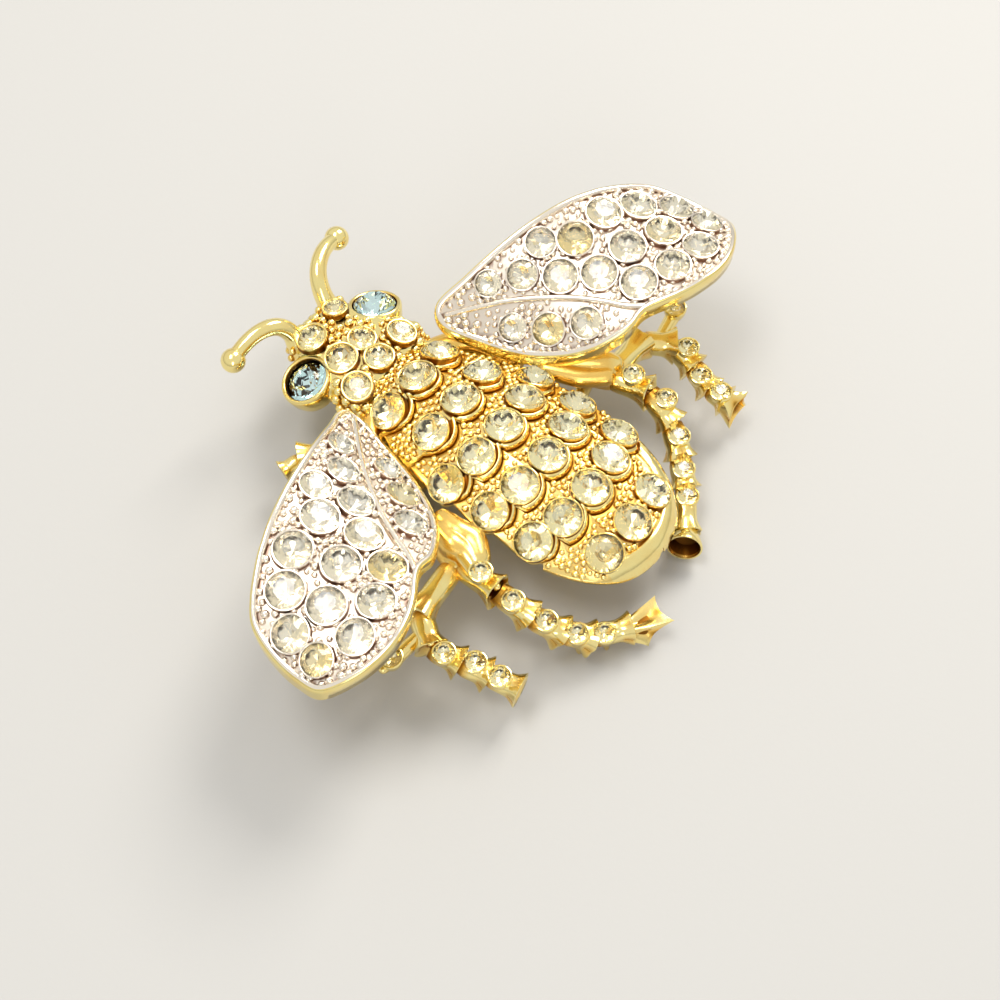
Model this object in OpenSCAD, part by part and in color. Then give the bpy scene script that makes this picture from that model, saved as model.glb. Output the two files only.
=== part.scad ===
// Bee brooch: a cast body with six overlapping rows of cut stones, two domed wings packed with
// stones, six legs of flared segments, and a pin across the flat back.
// The head points along +Y, the bee's right side is +X, and the brooch lies on its pin and hind feet.

/* [Body] */
// Length of the thorax and abdomen, from the neck to the tail
body_l = 24.2; // [23:0.1:26]
// Greatest width of the abdomen
body_w = 13.5; // [13.4:0.1:14.6]
// Width at the neck
neck_w = 6.8; // [5:0.1:8]
// Height of the crest above the flat back
body_h = 4.7; // [4.2:0.1:5.4]
// Height of the neck above the flat back
neck_h = 3.0; // [2.4:0.1:3.6]
// Thickness of the tail end
tail_h = 1.05; // [0.8:0.05:1.4]
// Height of the rim round the underside
edge_t = 0.6; // [0.5:0.05:0.9]
// Height of the flat back above the surface that the brooch lies on
back_z = 3.85; // [3.8:0.05:4.4]

/* [Rows] */
// Distance from the neck to the middle of the first row
row_first = 2.95; // [2.6:0.05:3.2]
// Distance from the first row to the second
row_pitch = 3.84; // [3.76:0.02:3.9]
// How much closer each next row sits
row_close = 0.06; // [0:0.01:0.08]
// Distance from the middle stone of a row to the next one
stone_pitch = 2.88; // [2.84:0.02:3]
// How far the outer stones of a five-stone row sit ahead of its middle
row_bow = 1.1; // [0.8:0.1:1.6]
// Height of the step down behind each row
row_step = 0.45; // [0.3:0.05:0.6]
// Width of the lip behind the stones
lip_w = 0.45; // [0.3:0.05:0.55]
// Height of the lip above the row
lip_h = 0.3; // [0.15:0.05:0.4]

/* [Stones] */
// Diameter of the body stones
body_stone_d = 2.7; // [2.3:0.05:2.7]
// Diameter of the largest head stone
head_stone_d = 2.2; // [1.8:0.05:2.2]
// Diameter of the eyes
eye_d = 3.2; // [2.8:0.1:3.4]
// Diameter of the largest wing stones
wing_stone_d = 2.6; // [2.2:0.05:2.65]
// Diameter of the leg stones
leg_stone_d = 1.45; // [1.2:0.05:1.5]
// Height of a stone's crown as a share of its diameter
crown_share = 0.19; // [0.12:0.01:0.25]
// Depth of a stone below its girdle
stone_base = 0.3; // [0.2:0.05:0.35]
// Gap between a stone and its seat
seat_gap = 0.06; // [0.05:0.01:0.1]

/* [Head] */
// Width of the head across its stones
head_w = 8.6; // [7.8:0.1:9.4]
// Length of the head from the neck to the brow
head_l = 7.2; // [6.6:0.1:7.8]
// Height of the head above the flat back
head_h = 3.5; // [3:0.1:4]
// Distance between the centres of the eyes
eye_spread = 8.3; // [8:0.1:9]
// How much deeper the left eye sits in its cup than the right eye
eye_sink = 0.4; // [0:0.05:0.5]
// Wall of the eye cups
eye_wall = 0.45; // [0.35:0.05:0.6]
// Distance between the centres of the antenna balls
antenna_spread = 13; // [10:0.2:15]
// How far the antennae reach ahead of the brow
antenna_reach = 2.4; // [2:0.1:3.4]
// How far the antennae rise above the head
antenna_rise = 1.7; // [1:0.1:2.4]
// Thickness of an antenna
antenna_d = 1.2; // [0.9:0.05:1.4]
// Diameter of an antenna ball
ball_d = 1.85; // [1.5:0.05:2.2]
// How much less far ahead the left antenna reaches than the right one
left_short = 0.6; // [0:0.1:0.8]
// How much lower the left antenna's ball lies than the right one's
left_low = 0.25; // [0:0.05:0.5]

/* [Wings] */
// Length of a wing from root to tip
wing_l = 22.7; // [22:0.1:24]
// Width of a wing, fore wing and hind wing together
wing_w = 12; // [11.8:0.1:12.6]
// Distance between the two wing roots
root_spread = 10.8; // [10.4:0.1:11.6]
// Distance of the wing roots behind the neck
root_back = 0.7; // [0.4:0.1:1.2]
// Height of a wing root
root_z = 8.35; // [8.2:0.05:9]
// How far the wing's crest rises above its root
wing_rise = 3.85; // [3:0.05:4.5]
// Angle of a wing back from straight out
wing_sweep = 36.4; // [34:0.2:38]
// How much further back the right wing is set than the left one, halved
wing_skew = 2.5; // [0:0.5:3]
// Sideways tilt of the wing at its root
root_tilt = 39; // [34:1:42]
// Sideways tilt of the wing at its tip
tip_tilt = -20; // [-26:1:-12]
// How far a wing's surface droops at half its width from its axis
wing_droop = 0.3744; // [0.3:0.0001:0.45]
// Thickness of a wing
wing_t = 1.6; // [1.3:0.1:1.8]
// Width of a wing's rim
rim_w = 0.65; // [0.5:0.05:0.75]
// Depth of the stone field below the rim
field_d = 0.35; // [0.3:0.05:0.5]

/* [Legs] */
// Thickness of the base plate that joins the legs
plate_t = 0.7; // [0.6:0.05:0.8]
// Gap between the castings
part_gap = 0.1; // [0.08:0.01:0.15]
// Distance between the two shoulder pads
pad_spread = 17.9; // [17.5:0.1:18.4]
// Diameter of a shoulder pad
pad_d = 2; // [1.8:0.1:2.2]
// Thickness of a leg where a segment starts
leg_d = 1.2; // [1:0.05:1.4]
// Width of a leg where a segment flares
flare_d = 2; // [1.8:0.1:2.1]

/* [Pin] */
// Length of the pin's bar
bar_l = 15; // [13:0.5:16]
// Width of the pin's bar
bar_w = 2.6; // [2.2:0.1:3]
// Thickness of the pin's bar
bar_t = 0.7; // [0.6:0.05:0.8]
// Diameter of the pin's stem
stem_d = 0.9; // [0.7:0.05:1]
// Length of the hinge block and of the catch, along the bar
block_l = 2.6; // [2.2:0.1:3]
// Distance of the pin ahead of the body's crest
pin_y = 3; // [1:0.5:4]

/* [Hidden] */

gold = "goldenrod";
rhodium = "gainsboro";
champagne = "palegoldenrod";
clear_stone = "whitesmoke";
aqua = "skyblue";

// The right wing is set further back, so the middle of the whole box lies beside the body's crest
box_shift = [0.5, -0.2];
module centred() translate([box_shift[0], box_shift[1], 0]) children();

// The body's plan: the crest is at y = 0
neck_y = body_l * 0.355;
tail_y = neck_y - body_l;
wide_y = neck_y - body_l * 0.56;
front_len = (neck_y - wide_y) / sqrt(1 - pow(neck_w / body_w, 2));
rear_len = wide_y - tail_y;
tail_blunt = 2.4;
side_fall = 0.55;
// Half widths of the rim's lower edge and of the flat back, as shares of the body's half width
edge_share = 0.985;
back_share = 0.65;
edge_least = 0.1;

// Stones on each side of the middle one in each row, from the neck to the tail
ROW_SIDES = [1, 1, 2, 2, 2, 1];
// Their distance from the middle, in stone pitches: alone, as the inner one of two, as the outer one
lone_share = 1.04;
outer_share = 1.84;
thorax_rows = 2;
last_row = len(ROW_SIDES) - 1;

// Sections under the last row and round the tail
// columns: share of the way from the last row to the tail's end, share of the bow, lift in row steps
TAIL_SECTIONS = [[-0.40, 0.7, -0.67], [0.50, 0.1, 0], [0.72, 0, 0], [0.88, 0, 0], [0.975, 0, 0]];

// Head stones
// columns: x as a share of the head's width, y as a share of its length, share of the largest stone
HEAD_STONES = [
    [-0.180, 0.790, 0.95],
    [0.180, 0.825, 0.75],
    [-0.200, 0.390, 1.00],
    [0.060, 0.365, 0.86],
    [-0.350, 0.045, 0.92],
    [-0.002, 0.088, 0.90],
    [0.315, 0.085, 0.90]
];

// Outline of a wing and the ridge between the fore wing and the hind wing
// columns: share of the length, then shares of the width: front edge (or tip), rear edge, ridge
WING_SECTIONS = [
    [0.000, 0.035, -0.085, -0.030],
    [0.105, 0.096, -0.260, -0.070],
    [0.220, 0.168, -0.425, -0.120],
    [0.330, 0.240, -0.532, -0.190],
    [0.420, 0.298, -0.580, -0.262],
    [0.500, 0.345, -0.583, -0.345],
    [0.560, 0.372, -0.560, -0.420],
    [0.617, 0.395, -0.500, -0.468],
    [0.727, 0.417, -0.488],
    [0.806, 0.397, -0.455],
    [0.890, 0.287, -0.375],
    [0.960, 0.142, -0.225],
    [1.000, -0.010]
];
ridge_sections = 8;

// Wing stones
// columns: share of the wing's length, share of its width, share of the largest stone
WING_STONES = [
    [0.174, 0.013, 0.73], [0.282, -0.020, 0.85], [0.363, 0.115, 0.85], [0.396, -0.110, 0.96],
    [0.471, 0.073, 1.00], [0.514, -0.175, 1.00], [0.585, 0.198, 1.00], [0.623, -0.068, 1.00],
    [0.622, -0.318, 1.00], [0.707, 0.220, 1.00], [0.753, -0.011, 1.00], [0.740, -0.275, 0.96],
    [0.830, 0.175, 0.96], [0.849, -0.179, 0.96], [0.908, 0.020, 0.85],
    [0.217, -0.255, 0.77], [0.321, -0.355, 0.90], [0.437, -0.420, 0.88]
];

// Legs, from the shoulder to the foot
// columns: x, y and z of the top of each segment, all in millimetres, and 1 where a stone is set there
MID_LEG = [
    [12.4, -3.7, 5.8, 0],
    [15.3, -5.6, 5.4, 0],
    [15.4, -7.9, 5.1, 1],
    [14.4, -9.8, 4.2, 1],
    [14.2, -11.7, 3.9, 1]
];
HIND_LEG_LEFT = [
    [9.7, -6.9, 7.0, 1],
    [9.8, -9.7, 6.0, 1],
    [9.1, -12.0, 4.4, 1],
    [8.1, -14.0, 3.1, 1],
    [6.7, -15.4, 2.5, 1]
];
HIND_LEG_RIGHT = [
    [9.9, -6.5, 7.0, 1],
    [10.1, -9.3, 6.0, 1],
    [8.8, -11.4, 4.5, 1],
    [7.3, -12.9, 3.3, 1],
    [5.9, -14.2, 2.6, 1]
];
FRONT_LEG_LEFT = [[5.9, 7.8, 4.9, 0], [7.7, 9.9, 4.4, 0], [9.1, 10.6, 4.2, 0]];
FRONT_LEG_RIGHT = [[6.1, 7.2, 4.9, 0], [7.8, 7.6, 4.4, 0], [9.5, 6.8, 4.0, 0]];

// Feet, and a lone stone on a spur of the middle leg, as x, y and z
MID_FOOT_LEFT = [13.9, -13.2, 3.0];
MID_FOOT_RIGHT = [14.2, -12.2, 3.1];
FRONT_FOOT_LEFT = [9.9, 10.8, 3.2];
FRONT_FOOT_RIGHT = [10.9, 6.2, 3.0];
STAR_FOOT = [5.1, -16.5, 1.9];
CUP_FOOT = [3.9, -15.5, 1.5];
SPUR_STONE = [17.8, -5.2, 5.2];
// Where the open feet face, their width and their length: the left hind foot is a star, the right hind
// foot and the right middle foot are cups
STAR_AXIS = [-0.83, -0.55, -0.05];
CUP_AXIS = [-0.87, -0.42, 0.2];
SMALL_CUP_AXIS = [0.05, -0.98, 0.1];
star_d = 3.9;
star_l = 1.7;
cup_d = 2.8;
cup_l = 1.5;
small_cup_d = 2.6;
small_cup_l = 1.1;

// Half the body's width at a distance along it
function half_w(y) = y > wide_y
    ? body_w / 2 * sqrt(max(0, 1 - pow((y - wide_y) / front_len, 2)))
    : body_w / 2 * pow(max(0, 1 - pow((wide_y - y) / rear_len, tail_blunt)), 1 / tail_blunt);

// Height of the crest, and of any point of the smooth dome
function crest_z(y) = back_z + body_h
    - (y > 0 ? (body_h - neck_h) * pow(y / neck_y, 2) : (body_h - tail_h) * pow(y / tail_y, 2));
function dome_z(x, y) =
    crest_z(y) - side_fall * (crest_z(y) - back_z) * pow(min(1, abs(x) / half_w(y)), 2);

// Gap round a stone of the rows, wider than elsewhere because the rows curve
seat_clear = 0.1;

// Rows of stones, bowed towards the tail in the middle
function bow(x) = row_bow * pow(abs(x) / (outer_share * stone_pitch), 2.2);
function row_y(k) = neck_y - row_first - k * row_pitch + row_close * k * (k - 1) / 2;
function place_x(k, i) =
    i == 2 ? outer_share * stone_pitch : i * stone_pitch * (ROW_SIDES[k] == 1 ? lone_share : 1);
function outer_x(k) = place_x(k, ROW_SIDES[k]);
function near_x(k, x) =
    let (a = abs(x), b = place_x(k, 1), c = outer_x(k))
    sign(x) * (a < b / 2 ? 0 : a < (b + c) / 2 || ROW_SIDES[k] == 1 ? b : c);

// Scalloped rear edge of a row, at the distance r behind its stones' middles
function lip_y(k, x, r) =
    let (sx = near_x(k, x), d = abs(x - sx))
    row_y(k) + bow(sx) - sqrt(max(r * r - d * d, pow(0.45 * r, 2)))
    + (abs(x) > outer_x(k) ? bow(x) - bow(outer_x(k)) : 0);

// A cross line of the body at y: share of the bow, or the scallops of a row at the distance r
function line_y(x, y, share, row, r) = is_undef(row) ? y + share * bow(x) : lip_y(row, x, r);
function edge_x(y, share, row, r, w, n = 4) =
    n == 0 ? w : edge_x(y, share, row, r, half_w(line_y(w, y, share, row, r)), n - 1);

// One cross section of the body: the dome from side to side, then the edge and the flat back
top_n = 37;
function ring(y, share, lift, row = undef, r = 0) =
    let (
        w = edge_x(y, share, row, r, half_w(y)),
        ye = line_y(w, y, share, row, r),
        zl = max(back_z + edge_least, dome_z(w, ye) - edge_t)
    )
    concat(
        [for (j = [0:top_n - 1])
            let (s = -1 + 2 * j / (top_n - 1), x = s * w, py = line_y(x, y, share, row, r))
            [x, py, dome_z(x, py) + lift * (1 - pow(s, 8))]],
        [
            [w * edge_share, ye, zl],
            [w * back_share, ye, back_z],
            [-w * back_share, ye, back_z],
            [-w * edge_share, ye, zl]
        ]
    );

lip_in = body_stone_d / 2 + seat_clear;
lip_out = body_stone_d / 2 + lip_w;
step_run = 0.14;
function row_rings(k) = concat(
    k == 0 ? [] : [ring(row_y(k - 1), 1, -row_step, k - 1, lip_out + step_run)],
    k == last_row ? [] : [
        ring(row_y(k), 1, 0, k, lip_in),
        ring(row_y(k), 1, lip_h, k, lip_out)
    ]
);
BODY_RINGS = concat(
    [ring(neck_y, 0, 0)],
    [for (k = [0:last_row]) each row_rings(k)],
    [for (t = TAIL_SECTIONS)
        ring(row_y(last_row) + t[0] * (tail_y - row_y(last_row)), t[1], t[2] * row_step)]
);

// A closed solid through cross sections that all have the same number of points
module loft(rings) {
    n = len(rings[0]);
    m = len(rings);
    polyhedron(
        points = [for (r = rings) each r],
        faces = concat(
            [[for (j = [n - 1:-1:0]) j]],
            [for (i = [0:m - 2], j = [0:n - 1])
                let (a = i * n + j, b = i * n + (j + 1) % n) each [[a, b, a + n], [b, b + n, a + n]]],
            [[for (j = [0:n - 1]) (m - 1) * n + j]]
        )
    );
}

// Unit vectors and a tube along a path
function unit(v) = v / norm(v);
function tangent(p, i) = unit(p[min(i + 1, len(p) - 1)] - p[max(i - 1, 0)]);
function bezier(p, t) =
    pow(1 - t, 3) * p[0] + 3 * t * pow(1 - t, 2) * p[1] + 3 * t * t * (1 - t) * p[2] + pow(t, 3) * p[3];
module tube(path, d, sides) {
    loft([for (i = [0:len(path) - 1])
        let (t = tangent(path, i), a = unit(cross(t, [0, 0, 1])), b = cross(a, t))
        [for (j = [0:sides - 1]) path[i] + d / 2 * (cos(360 * j / sides) * a + sin(360 * j / sides) * b)]]);
}

// Turns +Z to the direction n
module aim(n) rotate([0, acos(n[2] / norm(n)), atan2(n[1], n[0])]) children();

// Radius of a stone's table and of its base, as shares of its diameter
table_share = 0.29;
base_share = 0.38;

// A cut stone with its girdle at z = 0: a table, crown facets and a short base
module cut_stone(d, sides = 8) {
    n = sides;
    top = d * crown_share;
    ring_at = function(r, z, turn)
        [for (j = [0:n - 1]) [r * cos(360 * (j + turn) / n), r * sin(360 * (j + turn) / n), z]];
    polyhedron(
        points = concat(
            ring_at(d * table_share, top, 0),
            ring_at(d / 2, 0, 0.5),
            ring_at(d * base_share, -stone_base, 0.5)
        ),
        faces = concat(
            [[for (j = [n - 1:-1:0]) j]],
            [for (j = [0:n - 1]) [j, (j + 1) % n, n + j]],
            [for (j = [0:n - 1]) [n + j, (j + 1) % n, n + (j + 1) % n]],
            [for (j = [0:n - 1]) each [
                [n + j, n + (j + 1) % n, 2 * n + j],
                [2 * n + j, n + (j + 1) % n, 2 * n + (j + 1) % n]
            ]],
            [[for (j = [0:n - 1]) 2 * n + j]]
        )
    );
}

// Head, with its brow ahead of the neck
brow_y = neck_y + head_l;
head_z = back_z + head_h;
// Middles of its round corners
// columns: share of its width to each side, share of its length from the neck
HEAD_TOP = [[0.198, 0.82], [0.349, 0.07]];
HEAD_BACK = [[0.244, 0.75], [0.29, -0.055]];
corner_d = 3;
head_foot = 0.5;
module head_core() hull() for (s = [-1, 1]) {
    for (p = HEAD_TOP) translate([s * p[0] * head_w, neck_y + p[1] * head_l, head_z - corner_d / 2])
        sphere(d = corner_d, $fn = 16);
    for (p = HEAD_BACK) translate([s * p[0] * head_w, neck_y + p[1] * head_l, back_z])
        cylinder(d = corner_d, h = head_foot, $fn = 16);
}

// Eyes: cups whose rims stand a little above the girdles
eye_lift = 2.6;
EYE_AT = [eye_spread / 2, neck_y + head_l * 0.6, back_z + eye_lift];
EYE_AXIS = [0.3, 0.27, 0.915];
cup_h = 1.7;
cup_rim = 0.1;
module at_eye(s) translate([s * EYE_AT[0], EYE_AT[1], EYE_AT[2]])
    aim([s * EYE_AXIS[0], EYE_AXIS[1], EYE_AXIS[2]]) children();
module eye_cup(s) at_eye(s) translate([0, 0, cup_rim - cup_h])
    cylinder(d = eye_d + 2 * eye_wall, h = cup_h, $fn = 20);
module eye_seat(s) at_eye(s) translate([0, 0, -stone_base - seat_gap - (s < 0 ? eye_sink : 0)])
    cylinder(d = eye_d + 2 * seat_gap, h = cup_h + cup_rim, $fn = 20);

// Antennae: out of the brow, forward and up, then out to a ball
// columns: shares of the balls' spread, of the reach ahead of the brow and of the rise above the head
ANTENNA = [[0.15, -0.21, -0.59], [0.13, 0.45, 1.09], [0.33, 1, 1.09], [0.5, 1, 0.38]];
module antenna(s) {
    short = s < 0 ? left_short : 0;
    low = s < 0 ? left_low : 0;
    path = [for (i = [0:3]) [
        s * ANTENNA[i][0] * antenna_spread,
        brow_y + ANTENNA[i][1] * (antenna_reach - short),
        head_z + ANTENNA[i][2] * antenna_rise - (i > 1 ? low : 0)
    ]];
    tube([for (i = [0:12]) bezier(path, i / 12)], antenna_d, 8);
    translate(path[3]) sphere(d = ball_d, $fn = 14);
}

// Wing shape, in the wing's own frame: u from root to tip and v towards the front edge
crest_u = wing_l * 0.62;
camber = wing_droop / pow(wing_w / 2, 2);
function wing_z(u, v) = root_z + wing_rise * (1 - pow((u - crest_u) / crest_u, 2))
    + v * (tan(root_tilt) + (tan(tip_tilt) - tan(root_tilt)) * u / wing_l) - camber * v * v;
function wing_normal(u, v) =
    let (e = 0.05)
    [wing_z(u - e, v) - wing_z(u + e, v), wing_z(u, v - e) - wing_z(u, v + e), 2 * e];
root_y = neck_y - root_back;
function sweep(s) = wing_sweep + s * wing_skew;
module place_wing(s) {
    if (s > 0)
        translate([root_spread / 2, root_y, 0]) rotate([0, 0, -sweep(1)]) children();
    else
        mirror([1, 0, 0]) translate([root_spread / 2, root_y, 0]) rotate([0, 0, -sweep(-1)]) children();
}
// Smooth closed outline through the table's points
function outline_points() = concat(
    [for (w = WING_SECTIONS) [w[0] * wing_l, w[1] * wing_w]],
    [for (i = [len(WING_SECTIONS) - 2:-1:0]) let (w = WING_SECTIONS[i]) [w[0] * wing_l, w[2] * wing_w]]
);
function spline(a, b, c, d, t) =
    0.5 * (2 * b + (c - a) * t + (2 * a - 5 * b + 4 * c - d) * t * t + (3 * b - a - 3 * c + d) * t * t * t);
function smooth_loop(p, k) =
    let (n = len(p))
    [for (i = [0:n - 1], j = [0:k - 1])
        spline(p[(i + n - 1) % n], p[i], p[(i + 1) % n], p[(i + 2) % n], j / k)];
function smooth_path(p, k) =
    let (n = len(p) - 1)
    concat(
        [for (i = [0:n - 1], j = [0:k - 1])
            spline(p[max(0, i - 1)], p[i], p[i + 1], p[min(n, i + 2)], j / k)],
        [p[n]]
    );
module wing_outline() polygon(smooth_loop(outline_points(), 2));

// A sheet of the wing's curvature that runs past the outline: its two faces lie at these heights above
// the wing's face, and the lower one can come closer to it towards the root
root_thin = 0.55;
past_root = 1.1;
past_tip = 1.2;
past_edge = 1.5;
function thin(u) = root_thin + (1 - root_thin) * min(1, max(0, u) / (wing_l * 0.45));
module wing_sheet(low, high, taper = false) {
    nu = 12;
    nv = 7;
    step_u = (past_root + wing_l + past_tip) / nu;
    step_v = (wing_w + 2 * past_edge) / nv;
    at = function(i, j, z)
        let (u = -past_root + i * step_u, v = -0.6 * wing_w - past_edge + j * step_v)
        [u, v, wing_z(u, v) + z];
    loft([for (i = [0:nu]) concat(
        [for (j = [0:nv]) at(i, j, high)],
        [for (j = [nv:-1:0]) at(i, j, low * (taper ? thin(i * step_u) : 1))]
    )]);
}
module wing() {
    difference() {
        intersection() {
            wing_sheet(-wing_t, 0, true);
            linear_extrude(2 * root_z) wing_outline();
        }
        intersection() {
            wing_sheet(-field_d, wing_t);
            linear_extrude(2 * root_z) offset(delta = -rim_w) wing_outline();
        }
    }
    sections = [for (i = [0:ridge_sections - 1]) WING_SECTIONS[i]];
    path = smooth_path([for (w = sections) [w[0] * wing_l, w[3] * wing_w]], 2);
    for (i = [1:len(path) - 2]) hull() for (p = [path[i], path[i + 1]])
        translate([p[0], p[1], wing_z(p[0], p[1]) - rim_w * 0.45]) sphere(d = rim_w, $fn = 8);
}
// The room that a wing takes, with a gap all round, open upwards
module wing_room(s) place_wing(s) intersection() {
    wing_sheet(-wing_t - part_gap / root_thin, root_z / 2, true);
    linear_extrude(3 * root_z) offset(delta = part_gap) wing_outline();
}
module wing_stones() {
    for (w = WING_STONES) {
        u = w[0] * wing_l;
        v = w[1] * wing_w;
        n = wing_normal(u, v);
        translate([u, v, wing_z(u, v) - field_d]) aim(n)
            translate([0, 0, stone_base + seat_gap]) cut_stone(w[2] * wing_stone_d);
    }
}

// Shoulders of the body and the posts that carry the wings
// columns: distance out from the wing's root and distance behind the neck, as shares of a wing's width
SHOULDER = [[-0.167, 0.1], [0.05, 0.267], [0.1, 0.55]];
POSTS = [[0.108, 0.308], [0.158, 0.517]];
shoulder_d = 2;
post_d = 1.5;
shoulder_z = back_z + 1.5;
function by_root(s, p) = [s * (root_spread / 2 + p[0] * wing_w), neck_y - p[1] * wing_w, shoulder_z];
module shoulders(s) {
    for (i = [0, 1]) hull() for (p = [SHOULDER[i], SHOULDER[i + 1]])
        translate(by_root(s, p)) sphere(d = shoulder_d, $fn = 14);
    for (p = POSTS) translate(by_root(s, p)) cylinder(d = post_d, h = root_z - shoulder_z, $fn = 12);
}

// The seat of a row's stone and the direction that it faces
row_slope = 0.13;
function seat_z(k, x) = dome_z(x, row_y(k) + bow(x)) - (k > 0 ? row_step * 0.42 : 0);
function seat_normal(k, x) =
    let (y = row_y(k) + bow(x), e = body_stone_d * 0.35)
    [
        dome_z(x - e, y) - dome_z(x + e, y),
        dome_z(x, y - e) - dome_z(x, y + e) + (k > 0 ? 2 * e * row_slope : 0),
        2 * e
    ];
module row_of_stones(k) {
    for (i = [-ROW_SIDES[k]:ROW_SIDES[k]]) {
        x = sign(i) * place_x(k, abs(i));
        translate([x, row_y(k) + bow(x), seat_z(k, x)]) aim(seat_normal(k, x))
            translate([0, 0, stone_base + seat_clear]) cut_stone(body_stone_d);
    }
}

// Legs: segments that flare to four corners, with a stone's seat on top of each
leg_drop = 1.05;
corner_drop = 0.55;
corner_share = 1.2;
flare_t = 0.3;
neck_t = 0.1;
seat_wall = 0.15;
seat_d = leg_stone_d + 2 * seat_wall;
function core(p) = [p[0], p[1], p[2] - leg_drop];
module segment(a, b, d) {
    n = unit(b - a);
    hull() {
        translate(a) aim(n) cylinder(d = leg_d, h = neck_t, $fn = 8);
        translate(b) aim(n) translate([corner_drop, 0, -flare_t])
            cylinder(d = d * corner_share, h = flare_t, $fn = 4);
    }
}
module stone_seat(p) translate(core(p)) cylinder(d = seat_d, h = leg_drop - stone_base - seat_gap, $fn = 8);
module leg(rows, start, foot, foot_d) {
    joints = concat([start], [for (i = [0:len(rows) - 2]) core((rows[i] + rows[i + 1]) / 2)], [foot]);
    for (i = [0:len(rows) - 1]) {
        segment(joints[i], joints[i + 1], i == len(rows) - 1 ? foot_d : flare_d);
        if (rows[i][3] == 1) stone_seat(rows[i]);
    }
}
module seat_room(p) translate([p[0], p[1], p[2] - stone_base - seat_gap])
    cylinder(d = leg_stone_d + 2 * seat_gap, h = 2, $fn = 8);
module leg_stones(rows) {
    for (p = rows) if (p[3] == 1) translate([p[0], p[1], p[2]]) cut_stone(leg_stone_d);
}
// A thorn under a leg that stands on the surface below
thorn_d = 0.4;
thorn_back = 0.3;
module toe(p) hull() {
    translate(core(p)) sphere(d = leg_d, $fn = 8);
    translate([p[0], p[1] - thorn_back, 0]) cylinder(d = thorn_d, h = thorn_d / 2, $fn = 6);
}
// A round hollow cup that opens along n
cup_neck = 0.5;
cup_bore = 0.82;
cup_floor = 0.3;
module cup(at, n, d, l) {
    translate(at) aim(n) difference() {
        cylinder(d1 = d * cup_neck, d2 = d, h = l, $fn = 12);
        translate([0, 0, l * cup_floor])
            cylinder(d1 = d * cup_neck * cup_bore, d2 = d * cup_bore, h = l * (1.02 - cup_floor), $fn = 12);
    }
}
// A foot that flares to four points, open along n
star_flare = 2.2;
star_floor = 0.4;
star_bore = 0.7;
module star(at, n, d, l) {
    outline = [for (j = [0:7]) (j % 2 == 0 ? 0.5 : 0.3) * d / star_flare * [cos(45 * j), sin(45 * j)]];
    translate(at) aim(n) rotate([0, 0, 45]) difference() {
        linear_extrude(l, scale = star_flare) polygon(outline);
        translate([0, 0, l * star_floor])
            linear_extrude(l, scale = star_flare) polygon(outline * star_bore);
    }
}

// Base plate under the body, its arms and the shoulder pads
plate_z = back_z - part_gap - plate_t;
plate_mid = plate_z + plate_t / 2;
// Round corners of the plate, mirrored
// columns: share of the body's width, share of its length, radius as a share of its width
PLATE = [[0.193, 0.248, 0.133], [0.237, 0.14, 0.111], [0.237, -0.186, 0.111], [0.193, -0.372, 0.133]];
pad_y = wide_y + 1.65;
pad_z = back_z + 1.55;
pad_l = 2.7;
pad_slant = 1.1;
pad_front = [pad_spread / 2 - pad_slant / 2, pad_y + pad_l / 2, pad_z];
pad_rear = [pad_spread / 2 + pad_slant / 2, pad_y - pad_l / 2, pad_z];
pad_neck_d = 1.4;
arm_d = 1.1;
arm_in = 0.75;
arm_low = 0.8;
// Where the arms and the front legs leave the plate, as shares of the body's width and length
arm_root = 0.3;
FRONT_ROOT = [0.25, 0.19];
front_foot_share = 0.7;
module base_plate() {
    translate([0, 0, plate_z]) linear_extrude(plate_t) hull() for (s = [-1, 1], p = PLATE)
        translate([s * p[0] * body_w, p[1] * body_l]) circle(r = p[2] * body_w, $fn = 24);
}
module shoulder_pad(s) {
    low = [s * arm_root * body_w, pad_y, plate_mid];
    knee = [s * (pad_spread / 2 - arm_in), pad_y, plate_z + arm_low];
    hull() for (p = [pad_front, pad_rear]) translate([s * p[0], p[1], p[2]]) sphere(d = pad_d, $fn = 14);
    hull() {
        translate([s * pad_spread / 2, pad_y, pad_z]) sphere(d = pad_neck_d, $fn = 10);
        translate(knee) sphere(d = arm_d, $fn = 10);
    }
    hull() {
        translate(knee) sphere(d = arm_d, $fn = 10);
        translate(low) sphere(d = plate_t, $fn = 8);
    }
}
module front_leg(rows, foot) {
    shoulder = core(rows[0]);
    hull() {
        translate([FRONT_ROOT[0] * body_w, FRONT_ROOT[1] * body_l, plate_mid]) sphere(d = plate_t, $fn = 8);
        translate(shoulder) sphere(d = leg_d, $fn = 8);
    }
    leg([rows[1], rows[2]], shoulder, foot, flare_d * front_foot_share);
}
module mid_leg(foot, foot_d) {
    leg(MID_LEG, pad_rear, foot, foot_d);
    hull() {
        translate(core(MID_LEG[1])) sphere(d = leg_d, $fn = 8);
        translate(core(SPUR_STONE)) sphere(d = leg_d, $fn = 8);
    }
    stone_seat(SPUR_STONE);
}

// Pin: its bar under the base plate, with the hinge block, the catch and the stem between them
bar_top = plate_z - part_gap;
stem_z = 1;
stem_gap_l = bar_l / 2 - block_l / 2;

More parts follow.
